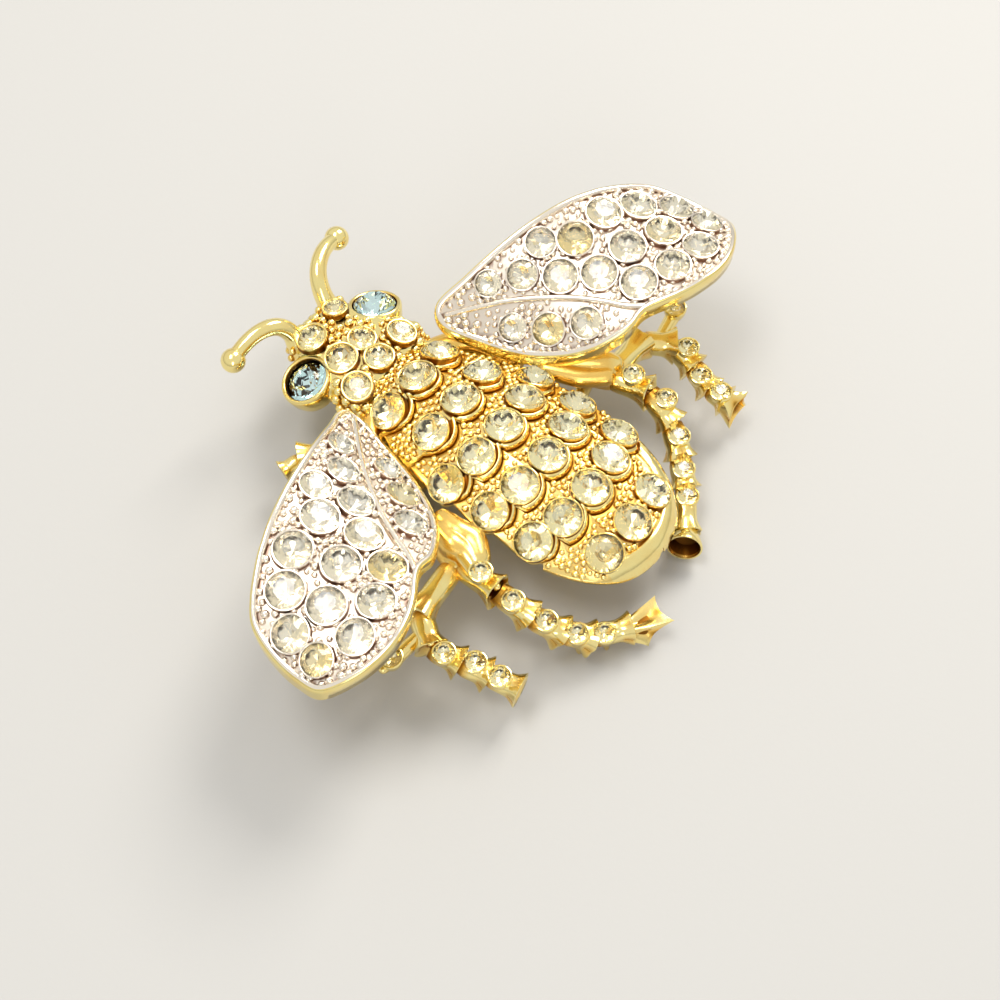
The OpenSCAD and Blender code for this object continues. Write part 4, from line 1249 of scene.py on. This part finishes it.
def head_core(form):
    """Head, eye cups' undersides, and the shoulders and posts that carry the wings, cast in one."""
    h, w = form.h, Millimetres(bpy.context.scene.brooch_wing)
    back, neck, brow, top = form.b.back_z, form.neck_y, form.brow, form.top
    root = w.root_spread / 2
    shell = Shell()
    # In from the head's side, y, z and radius
    balls = (
        (2.6, brow - 1.3, top - 1.5, 1.5), (1.3, neck + 0.5, top - 1.5, 1.5),
        (2.2, brow - 1.8, back + 0.9, 0.9), (1.8, neck - 0.4, back + 0.9, 0.9),
    )
    hull(shell, [(side * (h.head_w / 2 - x), y, z, r) for side in (-1, 1) for x, y, z, r in balls])
    for side in (-1, 1):
        r = form.s.eye_d / 2 + h.eye_wall * 0.9
        bowl = ((0.01, -1.75), (r * 0.86, -1.7), (r * 0.98, -1.3), (r, -0.4), (r * 0.99, -0.1), (0.01, -0.1))
        shell.add(*spun(bowl, *form.eye(side)))
        path = [(3.4, 1.2, 1.7), (root + 0.6, 3.2, 1.75), (root + 1.2, 6.6, 1.7)]
        shell.add(*swept(smooth_path([(side * x, neck - y, back + z) for x, y, z in path], 8), 1.02))
        for x, y in ((1.3, 3.7), (1.9, 6.2)):
            foot = (side * (root + x), neck - y, back + 1.5)
            shell.add(*bar(foot, (foot[0], foot[1], w.root_z), 0.75))
    piece = cast_in_one(shell, "head_core", finishes()["polished_gold_plate"])
    co = points_of(piece.data)
    # Painted shade: the shoulders lie in the wings' shade, so their plate is painted orange
    shaded = np.clip((np.abs(co[:, 0]) - 3.6) / 0.6, 0, 1) * np.clip((neck - co[:, 1]) / 0.8, 0, 1)
    keep(piece.data, "crevice", 0.64 * shaded)
    # The posts end just under the wings
    for side in (-1, 1):
        under = WingForm(side).under(co) - 0.08
        post = (co[:, 0] * side > root + 0.2) & (co[:, 1] < neck - 2.4)
        co[:, 2] = np.where(post, np.minimum(co[:, 2], under), co[:, 2])
    move_points(piece.data, co)
    return piece


def add_antenna(form, shell, side):
    """Out of the brow, forward and up, then out to a ball."""
    h = form.h
    short, low = (h.left_short, h.left_low) if side < 0 else (0.0, 0.0)
    wide, reach, rise = side * h.antenna_spread, h.antenna_reach - short, h.antenna_rise
    turns = [
        (x * wide, form.brow + y * reach, form.top + z * rise - low * late) for x, y, z, late in ANTENNA
    ]
    t = np.linspace(0, 1, 36)
    path = bezier(turns, t)
    thick = np.interp(t, [0, 0.12, 0.3, 0.6, 0.9, 1], [1.45, 1.22, 1.12, 1.02, 0.96, 1.0])
    shell.add(*swept(path, h.antenna_d / 2 * thick, 24))
    r = h.ball_d / 2
    ball = [(r * math.sin(a), -r * math.cos(a)) for a in np.linspace(0.03, math.pi - 0.03, 18)]
    shell.add(*spun(ball, path[-1], path[-1] - path[-3], 28))


class BROOCH_OT_body(bpy.types.Operator):
    """Makes the gold body casting with its rows, head, eye cups and antennae"""

    bl_idname = "brooch.body"
    bl_label = "Body casting"

    def execute(self, context):
        gold = finishes()["polished_gold_plate"]
        form = HeadForm()
        abdomen = body_shell(form).build("abdomen_part", [gold])
        head = head_core(form)
        co = pressed(points_of(head.data), form.head_seats(), depth=0.42, reach=0.9)
        eyes = []
        cups = Shell()
        for side in (-1, 1):
            at, n = form.eye(side)
            eyes.append({"at": at, "normal": n, "d": form.s.eye_d + 0.7})
            cups.spin(form.eye_cup(side), at, n, 48)
            add_antenna(form, cups, side)
        move_points(head.data, pressed(co, eyes, depth=0.42, reach=1.0))
        body = join("body_casting", abdomen, head, cups.build("eye_cups", [gold]))
        shade(body.data, 62)
        finish_piece(body, "gold_plate", "body")
        return {"FINISHED"}


class BROOCH_OT_body_beads(bpy.types.Operator):
    """Strews gold beads between the stones of the body and the head, and rings each stone with a bezel"""

    bl_idname = "brooch.body_beads"
    bl_label = "Body beads and bezels"

    def execute(self, context):
        gold = finishes()["polished_gold_plate"]
        form = HeadForm()
        seats, head_seats = form.seats(0, form.last + 1, random.Random(1)), form.head_seats()
        bead = form.b.bead_d
        surface = body_shell(form).build("bead_base")
        beads = strew("row_beads", surface, seats, bead * 0.82, bead * 0.25, bead, 11, gold)
        # On the head beads lie on the top faces, away from the eyes
        head = head_core(form)
        c = read(head.data.polygons, "center") / MM - np.array(SHIFT)
        top = (read(head.data.polygons, "normal")[:, 2] > 0.1) & (np.abs(c[:, 0]) < 5)
        top &= (c[:, 1] > form.neck_y - 0.9) & (c[:, 2] > form.b.back_z + 1.4)
        for side in (-1, 1):
            top &= np.linalg.norm(c - form.eye(side)[0], axis=1) >= 2.4
        keep(head.data, "mark", top.astype(float), domain="FACE")
        on_head = strew("head_beads", head, head_seats, bead * 1.15, bead * 0.55, bead * 1.5, 3, gold, 0.5)
        rings = set_shapes("stone_bezels", seats, bezel(0.04, 0.03, 0.18), gold)
        head_rings = set_shapes("head_bezels", head_seats, bezel(0.1, 0.05, 0.22), gold)
        finish_piece(join("body_beads", beads, on_head, rings, head_rings), "gold_plate")
        return {"FINISHED"}


class BROOCH_OT_body_stones(bpy.types.Operator):
    """Sets the champagne stones of the head, the thorax and the abdomen"""

    bl_idname = "brooch.body_stones"
    bl_label = "Body stones"

    def execute(self, context):
        form = HeadForm()
        chance = random.Random(21)
        for name, seats in (
            ("head_stone", form.head_seats()),
            ("thorax_stone", form.seats(0, THORAX_ROWS, chance)),
            ("abdomen_stone", form.seats(THORAX_ROWS, form.last + 1, chance)),
        ):
            set_stones(name + "_field", seats, "champagne", name + "s")
        return {"FINISHED"}


class BROOCH_OT_eyes(bpy.types.Operator):
    """Sets the two aqua eyes, the left one deeper and a little towards the cup's rear"""

    bl_idname = "brooch.eyes"
    bl_label = "Eyes"

    def execute(self, context):
        form = HeadForm()
        for side, word in SIDES:
            at, n = form.eye(side)
            if side < 0:
                at = at - n * form.h.eye_sink + np.array(LEFT_EYE_SHIFT)
            seat = {"at": at, "normal": n, "d": form.s.eye_d, "twist": 0.3}
            set_stones(f"{word}_eye_stone", [seat], "aqua", f"eye_{word}")
        return {"FINISHED"}


# Wings


class WingForm:
    """A wing's surface in its own frame, u from root to tip and v towards the front edge."""

    def __init__(self, side):
        g = bpy.context.scene.brooch_wing
        self.w = w = Millimetres(g)
        self.side = side
        self.crest_u = w.wing_l * WING_CREST
        self.root_tan, self.tip_tan = math.tan(g.root_tilt), math.tan(g.tip_tilt)
        self.sweep = g.sweep + side * g.skew
        self.root_y = BodyForm().neck_y - w.root_back

    def z(self, u, v):
        w = self.w
        lean = self.root_tan + (self.tip_tan - self.root_tan) * u / w.wing_l
        rise = w.wing_rise * (1 - ((u - self.crest_u) / self.crest_u) ** 2)
        return w.root_z + rise + v * lean - w.droop * (2 * v / w.wing_w) ** 2

    def thickness(self, u):
        """Thinner towards the root."""
        run = np.clip(u / (self.w.wing_l * ROOT_RUN), 0, 1)
        return self.w.wing_t * (ROOT_THIN + (1 - ROOT_THIN) * run)

    def place(self, points):
        """From the wing's frame to the brooch's."""
        p = np.asarray(points, float)
        c, s = math.cos(-self.sweep), math.sin(-self.sweep)
        x = self.w.root_spread / 2 + p[:, 0] * c - p[:, 1] * s
        y = self.root_y + p[:, 0] * s + p[:, 1] * c
        return np.stack([x * self.side, y, p[:, 2]], 1)

    def under(self, points):
        """Heights of the wing's underside over points of the brooch."""
        x, y = points[:, 0] * self.side - self.w.root_spread / 2, points[:, 1] - self.root_y
        c, s = math.cos(-self.sweep), math.sin(-self.sweep)
        u, v = x * c + y * s, y * c - x * s
        return self.z(u, v) - self.thickness(u)

    def lifted(self, flat, height):
        """Flat points of the wing at a height above its face, in the brooch's frame."""
        return self.place(np.column_stack([flat, self.z(flat[:, 0], flat[:, 1]) + height]))

    def outline(self, count=240):
        """Even steps round the wing."""
        w = self.w
        front = [(a * w.wing_l, b * w.wing_w) for a, b, c, d in WING_SECTIONS]
        rear = [(a * w.wing_l, c * w.wing_w) for a, b, c, d in reversed(WING_SECTIONS[:-1])]
        loop = smooth_loop(front + rear, 12)
        closed = np.concatenate([loop, loop[:1]])
        run = np.concatenate([[0], np.cumsum(np.linalg.norm(np.diff(closed, axis=0), axis=1))])
        at = np.linspace(0, run[-1], count, endpoint=False)
        return np.stack([np.interp(at, run, closed[:, 0]), np.interp(at, run, closed[:, 1])], 1)

    def ridge(self):
        """The line between the fore wing and the hind wing."""
        w = self.w
        line = [(a * w.wing_l, d * w.wing_w) for a, b, c, d in WING_SECTIONS if d is not None]
        return smooth_path(line, 6)

    def seats(self):
        w, s = self.w, BodyForm().s
        chance = random.Random(40 + self.side)
        made = []
        e = 0.05
        for u, v, size, left, right in WING_STONES:
            u, v = u * w.wing_l, v * w.wing_w
            n = unit([self.z(u - e, v) - self.z(u + e, v), self.z(u, v - e) - self.z(u, v + e), 2 * e])
            at = np.array([u, v, self.z(u, v) - w.field_d]) + n * (s.base + s.gap)
            ends = self.place([at, at + n])
            made.append({
                "at": ends[0], "normal": ends[1] - ends[0], "d": size * s.wing_d,
                "twist": chance.uniform(0, 0.8), "tint": left if self.side < 0 else right, "uv": (u, v),
            })
        return made

    def field(self, loop, spacing=0.55):
        """Points and triangles of the sunk face inside a loop, with holes for the stones."""
        return filled(loop, [(s["uv"], s["d"] / 2 * 0.93) for s in self.seats()], spacing)


def inset(loop, distance):
    """A loop moved inwards by a distance; stretches that would cross are drawn straight."""
    if distance <= 0:
        return loop.copy()
    tangent = np.roll(loop, -1, 0) - np.roll(loop, 1, 0)
    tangent /= np.linalg.norm(tangent, axis=1)[:, None]
    area = np.sum(loop[:, 0] * np.roll(loop[:, 1], -1) - np.roll(loop[:, 0], -1) * loop[:, 1])
    inward = np.stack([-tangent[:, 1], tangent[:, 0]], 1) * (1 if area > 0 else -1)
    moved = loop + distance * inward
    gap = np.linalg.norm(moved[:, None] - loop[None], axis=2).min(1)
    index, n = np.arange(len(loop)), len(loop)
    clear = index[gap > distance * 0.93]
    if len(clear) < n:
        wrapped = np.concatenate([clear - n, clear, clear + n])
        for axis in (0, 1):
            moved[:, axis] = np.interp(index, wrapped, np.tile(moved[clear, axis], 3))
    return moved


def filled(loop, holes, spacing):
    """Triangles inside a loop, clear of round holes."""
    points = [tuple(p) for p in loop]
    n, sides = len(points), 28
    edges = [(i, (i + 1) % n) for i in range(n)]
    for (x, y), r in holes:
        start = len(points)
        points += [(x + px, y + py) for px, py, _ in ring_of(r, 0, sides)]
        edges += [(start + j, start + (j + 1) % sides) for j in range(sides)]
    low, high = loop.min(0), loop.max(0)
    for i, x in enumerate(np.arange(low[0], high[0], spacing)):
        for y in np.arange(low[1] + (i % 2) * spacing / 2, high[1], spacing):
            if all((x - c[0]) ** 2 + (y - c[1]) ** 2 > (r + 0.12) ** 2 for c, r in holes):
                if np.linalg.norm(loop - (x, y), axis=1).min() > spacing * 0.45:
                    points.append((x, y))
    out = delaunay_2d_cdt([Vector(p) for p in points], edges, [list(range(n))], 1, 1e-5)
    verts = np.array([v[:] for v in out[0]])
    faces = []
    for f in out[2]:
        c = verts[list(f)].mean(0)
        if all((c[0] - h[0]) ** 2 + (c[1] - h[1]) ** 2 > (r * 0.99) ** 2 for h, r in holes):
            faces.append(tuple(f))
    used = sorted({i for f in faces for i in f})
    place = {old: new for new, old in enumerate(used)}
    return verts[used], [tuple(place[i] for i in f) for f in faces]


class BROOCH_OT_wings(bpy.types.Operator):
    """Makes the two wing castings with rims, ridges and sunk fields"""

    bl_idname = "brooch.wings"
    bl_label = "Wing castings"

    def execute(self, context):
        gold, silver = finishes()["polished_gold_plate"], finishes()["polished_rhodium_plate"]
        for side, word in SIDES:
            form = WingForm(side)
            w = form.w
            loop = form.outline()
            n = len(loop)
            thick = form.thickness(loop[:, 0])
            section = [(across, rise - thick, 0, dark) for across, rise, dark in WING_WALL]
            section += [(across, high * w.field_d, metal, dark) for across, high, metal, dark in WING_RIM]
            rings = [(inset(loop, across * w.rim_w), *rest) for across, *rest in section]
            shell = Shell()
            for (flat0, h0, _, dark0), (flat1, h1, metal, dark1) in zip(rings, rings[1:]):
                pair = np.concatenate([form.lifted(flat0, h0), form.lifted(flat1, h1)])
                shell.add(pair, strips(2, n), finish=metal, depth=[dark0] * n + [dark1] * n)
            verts, faces = form.field(rings[-1][0])
            # Painted shade: the sunk field between the grains and the casting's underside are toned darker
            shell.add(form.lifted(verts, -w.field_d), faces, finish=1, depth=0.6, mark=1.0)
            verts, faces = filled(rings[0][0], (), 0.8)
            shell.add(form.lifted(verts, -form.thickness(verts[:, 0])), faces, depth=0.25)
            name = f"{word}_wing_casting"
            ridge = Shell()
            ridge.add(*swept(form.lifted(form.ridge(), -w.rim_w * 0.3)[2:-1], w.rim_w * 0.38, 14))
            made = join(name, shell.build(name, [gold, silver]), ridge.build("ridge", [silver]))
            shade(made.data, 50)
            finish_piece(made, "rhodium_plate", f"wing_{word}")
        return {"FINISHED"}


class BROOCH_OT_wing_grains(bpy.types.Operator):
    """Packs silver grains between the stones of the wings and rings each stone with a thin bezel"""

    bl_idname = "brooch.wing_grains"
    bl_label = "Wing grains and bezels"

    def execute(self, context):
        silver = finishes()["polished_rhodium_plate"]
        for side, word in SIDES:
            form = WingForm(side)
            w, seats, path = form.w, form.seats(), form.ridge()
            verts, faces = form.field(inset(form.outline(), w.rim_w * 0.85), 0.4)
            marks = []
            for f in faces:
                away = np.linalg.norm(path - verts[list(f)].mean(0), axis=1).min()
                marks.append(0.0 if away < w.rim_w * 0.5 else 1.0)
            field = Shell()
            field.add(form.lifted(verts, -w.field_d), faces, mark=marks)
            surface = field.build("field", normals=False)
            if side < 0:
                surface.data.flip_normals()
            size = w.grain_d
            grains = strew("grains", surface, seats, size * 0.78, size * 0.05, size, 31 + side, silver, 0.35)
            rings = set_shapes("bezels", seats, bezel(0.055, 0.02, 0.17), silver)
            finish_piece(join(f"{word}_wing_grains", grains, rings), "rhodium_plate")
        return {"FINISHED"}


class BROOCH_OT_wing_stones(bpy.types.Operator):
    """Sets the clear stones of the wings, some of them yellowed"""

    bl_idname = "brooch.wing_stones"
    bl_label = "Wing stones"

    def execute(self, context):
        for side, word in SIDES:
            set_stones(f"{word}_wing_stones", WingForm(side).seats(), "clear", f"wing_{word}_stones")
        return {"FINISHED"}


# Legs


class LegForm(BodyForm):
    """The body's form with the legs' sizes: how far their cores lie below the stones, the height of the base
    plate, and the ends of the right shoulder pad."""

    def __init__(self):
        super().__init__()
        g = self.g = Millimetres(bpy.context.scene.brooch_legs)
        self.drop = np.array([0, 0, g.leg_drop])
        self.plate_z = self.b.back_z - PLATE_GAP - g.plate_t
        pad = np.array([g.pad_spread / 2, self.wide_y + PAD_AHEAD, self.b.back_z + PAD_ABOVE])
        self.pad_y, self.front, self.rear = pad[1], pad - np.array(PAD_HALF), pad + np.array(PAD_HALF)


def bell(sides=40):
    """A leg segment of unit flare width and unit length: a round neck that flares to four corners, the
    lower two longer, with hollow sides and a hollow end."""
    turn = full_turn(sides)
    corner = np.abs(np.sin(2 * turn)) ** 1.2
    below = np.clip(np.cos(turn), 0, 1) ** 0.5
    rings, dark = [], []
    for z, mid, tip, sag, shaded in BELL:
        radius = mid + (tip - mid) * corner
        # Painted shade: the sides are darkest midway between two corners
        hollow = 0.75 * (1 - corner) if 0.7 < z < 0.98 and shaded == 0 else np.zeros(sides)
        dark.append(shaded + hollow)
        x, y = radius * np.cos(turn) + sag * below, radius * np.sin(turn)
        rings.append(np.stack([x, y, np.full(sides, z)], 1))
    return template("bell", *tube(rings), np.concatenate(dark))


def horn(neck, radius, corners, dips, press, wall=0.78, sides=64, steps=12):
    """A foot that flares from a round neck to four corners; each side between two corners dips back
    towards the neck by its own share."""
    neck, corners = np.asarray(neck, float), np.asarray(corners, float)
    middle = corners.mean(0)
    x, y, _ = axes(middle - neck)
    turn = np.linspace(0, 4, sides, endpoint=False)
    side, along = turn.astype(int), turn % 1
    a, b = corners[side], corners[(side + 1) % 4]
    bend = np.sin(math.pi * along)[:, None] ** 0.8
    edge = a + (b - a) * along[:, None]
    edge = edge + bend * np.array(dips)[side][:, None] * (neck + 0.25 * (middle - neck) - edge)
    # The neck's points start at the first corner and turn the way that the corners do
    start, second = [math.atan2(c @ y, c @ x) for c in corners[:2] - middle]
    way = 1 if (second - start) % (2 * math.pi) < math.pi else -1
    ring = circle(neck, radius, x, y, start + way * turn * math.pi / 2)

    def flared(t, size):
        out = t**1.35
        return neck + (middle - neck) * t + ((ring - neck) * (1 - out) + (edge - middle) * out) * size

    hollow = np.sin(math.pi * along)[:, None] ** 2
    rings = [
        flared(t, 1 - press * math.sin(math.pi * min(1, t * 1.1)) * hollow) for t in np.linspace(0, 1, steps)
    ]
    rings += [flared(1.0, wall), flared(0.7, wall), flared(0.4, 0.6)]
    # Painted shade: darker midway between the corners towards the rim, and dark inside the rim
    dark = [1.05 * hollow[:, 0] * t for t in np.linspace(0, 0.9, steps)]
    dark += [np.full(sides, d) for d in (0.5, 1.0, 1.0)]
    return tube(rings), np.concatenate(dark)


def leg_core(form):
    """Base plate, saddles, pads and the legs' inner bars, cast in one."""
    g, drop, pad_y = form.g, form.drop, form.pad_y
    half_plate = form.plate_z + g.plate_t / 2
    cast = Shell()
    hull(cast, [
        (side * 2.6 + 1.45 * math.cos(a), y + 1.45 * math.sin(a), form.plate_z + 0.35, 0.35)
        for side in (-1, 1) for y in (6, -9) for a in full_turn(12)
    ])
    for side in (-1, 1):
        for saddle in SADDLES[side]:
            path = smooth_path(mirrored(side, saddle), 6)
            steps, given = np.linspace(0, 1, len(path)), np.linspace(0, 1, len(saddle))
            cast.add(*swept(path, np.interp(steps, given, [p[3] for p in saddle]), 20))
        shoulder = mirrored(side, FRONT_LEG[side][0]) - drop
        knee = (side * (g.pad_spread / 2 - 0.75), pad_y, form.plate_z + 0.8)
        bend, spur = mirrored(side, MID_LEG[1]) - drop, mirrored(side, SPUR_STONE) - drop
        cast.add(*bar(mirrored(side, form.front), mirrored(side, form.rear), g.pad_d / 2))
        cast.add(*bar((side * g.pad_spread / 2, pad_y, form.b.back_z + 1.5), knee, 0.7, 0.55))
        cast.add(*bar(knee, (side * 4, pad_y, half_plate), 0.55, 0.35))
        cast.add(*bar((side * 3.4, 4.6, half_plate), shoulder, 0.35, g.leg_d / 2))
        cast.add(*bar(bend, spur, g.leg_d * 0.42, g.leg_d * 0.5))
        cast.add(*bar(spur, spur + (side * 0.9, 0, 0.45), g.leg_d * 0.42, g.leg_d * 0.3))
        # Two small studs under each hind leg
        for top in mirrored(side, HIND_LEG[side][3:]) - drop:
            cast.add(*bar(top, (top[0], top[1] - 0.3, 0.22), 0.5, 0.2))
    piece = cast_in_one(cast, "leg_core", finishes()["polished_gold_plate"])
    # Painted shade: the whole core is toned a little, and the saddles, which lie in the wings' shade, are
    # painted orange
    co = points_of(piece.data)
    reach = np.abs(co[:, 0]) + np.abs(co[:, 1] + 2.2)
    shaded = 0.47 * np.clip((13.0 - reach) / 1.2, 0, 1) * np.clip((co[:, 2] - 4.2) / 0.8, 0, 1)
    keep(piece.data, "crevice", 0.15 + shaded)
    return piece


def leg_segments(form):
    """Seats of the flared segments and of the beads where they meet."""
    g, drop, rear = form.g, form.drop, form.rear
    bells, beads = [], []
    for side in (-1, 1):
        fore = FRONT_LEG[side]
        # Tops of the segments, where the leg starts, its foot, and the foot's width as a share of the flare
        for tops, start, foot, foot_share in (
            (MID_LEG, rear, MID_FOOT[side], 0.95),
            (HIND_LEG[side], rear, HIND_FOOT[side], 0.9),
            (fore[1:], mirrored(1, fore[0]) - drop, FRONT_FOOT[side], 0.7),
        ):
            tops = mirrored(1, tops)
            joints = [start, *((tops[:-1] + tops[1:]) / 2 - drop), np.array(foot, float)]
            joints = mirrored(side, joints)
            for i in range(len(tops)):
                a, b = joints[i], joints[i + 1]
                wide = g.flare_d * (foot_share if i == len(tops) - 1 else 1.0)
                long = float(np.linalg.norm(b - a)) * 1.02
                bells.append({"at": a, "normal": b - a, "d": (wide, wide, long)})
                if i:
                    beads.append({"at": a + (0, 0, g.leg_d * 0.5), "normal": (0, 0, 1), "d": 0.55})
    return bells, beads


def leg_stone_seats():
    s = BodyForm().s
    made = {}
    for side, word in SIDES:
        for kind, rows in (("hind", HIND_LEG[side]), ("mid", MID_LEG + (SPUR_STONE + (1,),))):
            chance = random.Random(len(kind) * 10 + side)
            made[f"{kind}_leg_{word}"] = [
                {"at": mirrored(side, p), "normal": np.array([0, 0, 1.0]), "d": s.leg_d,
                 "twist": chance.uniform(0, 0.8), "tint": chance.uniform(0, 0.4)}
                for p in rows if p[3]
            ]
    return made


class BROOCH_OT_legs(bpy.types.Operator):
    """Makes the leg frame: base plate, saddles and six legs of flared segments with their feet"""

    bl_idname = "brooch.legs"
    bl_label = "Leg frame"

    def execute(self, context):
        gold = finishes()["polished_gold_plate"]
        form = LegForm()
        core = leg_core(form)
        bells, beads = leg_segments(form)
        stones = [seat for seats in leg_stone_seats().values() for seat in seats]
        parts = [
            core,
            set_shapes("leg_bells", bells, bell(), gold),
            set_shapes("leg_beads", beads, grain(), gold),
            set_shapes("leg_sockets", stones, collar("socket", LEG_SEAT), gold),
        ]
        feet = Shell()
        for sizes in HORNS:
            form, dark = horn(**sizes)
            feet.add(*form, depth=dark)
        feet.spin(FOOT_CUP, HIND_FOOT[1], (-0.87, -0.42, 0.2), 36)
        made = join("leg_casting", *parts, feet.build("feet", [gold]))
        move_points(made.data, pressed(points_of(made.data), stones, depth=0.46, reach=1.0))
        shade(made.data, 48)
        finish_piece(made, "gold_plate", "leg_frame")
        return {"FINISHED"}


class BROOCH_OT_leg_stones(bpy.types.Operator):
    """Sets the small stones of the legs"""

    bl_idname = "brooch.leg_stones"
    bl_label = "Leg stones"

    def execute(self, context):
        for name, seats in leg_stone_seats().items():
            set_stones(name + "_stone_field", seats, "champagne", name + "_stones")
        return {"FINISHED"}


# Pin and studio


class BROOCH_OT_pin(bpy.types.Operator):
    """Gives the plain pin across the back its plated steel finish"""

    bl_idname = "brooch.pin"
    bl_label = "Pin"

    def execute(self, context):
        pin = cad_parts["pin_back"]
        pin.data.materials.clear()
        pin.data.materials.append(finishes()["nickel_pin_steel"])
        return {"FINISHED"}


def turned_to(name, data, place, back):
    """A lamp or camera at a place, with its back towards a direction."""
    made = linked(name, data)
    made.location = place
    made.rotation_mode = "QUATERNION"
    made.rotation_quaternion = (-back).to_track_quat("-Z", "Y")
    return made


def softbox(name, place, width, height, watts, tint):
    """A soft rectangular light that shines at the brooch."""
    light = bpy.data.lights.new(name, "AREA")
    light.shape, light.size, light.size_y = "RECTANGLE", width, height
    light.energy, light.color = watts, linear(tint)
    turned_to(name, light, place, Vector(place))


def paper_floor(tint):
    """Matt paper with a tooth of half a millimetre."""
    material, tree, shader = new_material("matt_paper_floor")
    tooth = noise(tree, node(tree, "ShaderNodeTexCoord", out="Object"), 0.5, 3.0)
    skin = bump(tree, tooth, 0.15, 0.05)
    wire(tree, shader, {"Base Color": rgba(tint), "Roughness": 0.65, "Normal": skin})
    mesh = bpy.data.meshes.new("floor")
    r = 1.5
    mesh.from_pydata([(-r, -r, 0), (r, -r, 0), (r, r, 0), (-r, r, 0)], [], [(0, 1, 2, 3)])
    mesh.materials.append(material)
    return linked("floor", mesh)


class BROOCH_OT_stage(bpy.types.Operator):
    """Makes the pale floor, the soft studio light and the camera at the photograph's angle"""

    bl_idname = "brooch.stage"
    bl_label = "Studio"

    def execute(self, context):
        scene = context.scene
        settings = scene.brooch_stage
        floor = paper_floor(scene.brooch_colours.floor)
        for name, place, width, height, tint in LAMPS:
            softbox(name + "_softbox", place, width, height, getattr(settings, name), tint)

        world = scene.world = bpy.data.worlds.new("studio_room")
        world.use_nodes = True
        tree = world.node_tree
        up = node(tree, "ShaderNodeTexCoord", out="Generated")
        z = node(tree, "ShaderNodeSeparateXYZ", {0: up}, out="Z")
        # A room that is light overhead and dim at the horizon, so that metal has something dark to show
        light = ranged(tree, z, 0.0, 0.35, 0.58, 1.0)
        strength = node(tree, "ShaderNodeMath", {0: light, 1: settings.world}, operation="MULTIPLY")
        wire(tree, tree.nodes["Background"], {"Color": rgba(linear("#F6F5F2")), "Strength": strength})

        camera = bpy.data.cameras.new("camera")
        camera.lens, camera.sensor_width = LENS, 36.0
        camera.clip_start, camera.clip_end = 0.005, 10
        azimuth, elevation = math.radians(AZIMUTH), math.radians(ELEVATION)
        flat = math.cos(elevation)
        back = Vector((math.sin(azimuth) * flat, -math.cos(azimuth) * flat, math.sin(elevation)))
        scene.camera = turned_to("camera", camera, Vector(AIM) * MM + back * DISTANCE, back)
        scene.view_settings.view_transform = "Standard"
        return {"FINISHED"}


PIECES = (
    BROOCH_OT_body, BROOCH_OT_body_beads, BROOCH_OT_body_stones, BROOCH_OT_eyes, BROOCH_OT_wings,
    BROOCH_OT_wing_grains, BROOCH_OT_wing_stones, BROOCH_OT_legs, BROOCH_OT_leg_stones, BROOCH_OT_pin,
    BROOCH_OT_stage,
)
GROUPS = (
    ("brooch_body", BodySizes), ("brooch_stones", StoneSizes), ("brooch_head", HeadSizes),
    ("brooch_wing", WingSizes), ("brooch_legs", LegSizes), ("brooch_colours", FinishColours),
    ("brooch_stage", StageSettings),
)


class BROOCH_PT_panel(bpy.types.Panel):
    """Lists the pieces of the brooch and their sizes"""

    bl_idname = "BROOCH_PT_panel"
    bl_label = "Bee Brooch"
    bl_space_type = "VIEW_3D"
    bl_region_type = "UI"
    bl_category = "Brooch"

    def draw(self, context):
        for name, group in GROUPS:
            box = self.layout.box()
            box.label(text=group.__name__)
            for key in group.__annotations__:
                box.prop(getattr(context.scene, name), key)
        for piece in PIECES:
            self.layout.operator(piece.bl_idname)


def register():
    for name, group in GROUPS:
        bpy.utils.register_class(group)
        setattr(bpy.types.Scene, name, bpy.props.PointerProperty(type=group))
    for piece in PIECES + (BROOCH_PT_panel,):
        bpy.utils.register_class(piece)


def unregister():
    for piece in reversed(PIECES + (BROOCH_PT_panel,)):
        bpy.utils.unregister_class(piece)
    for name, group in reversed(GROUPS):
        delattr(bpy.types.Scene, name)
        bpy.utils.unregister_class(group)


def main():
    register()
    for piece in PIECES:
        area, name = piece.bl_idname.split(".")
        getattr(getattr(bpy.ops, area), name)()


if __name__ == "__main__":
    main()
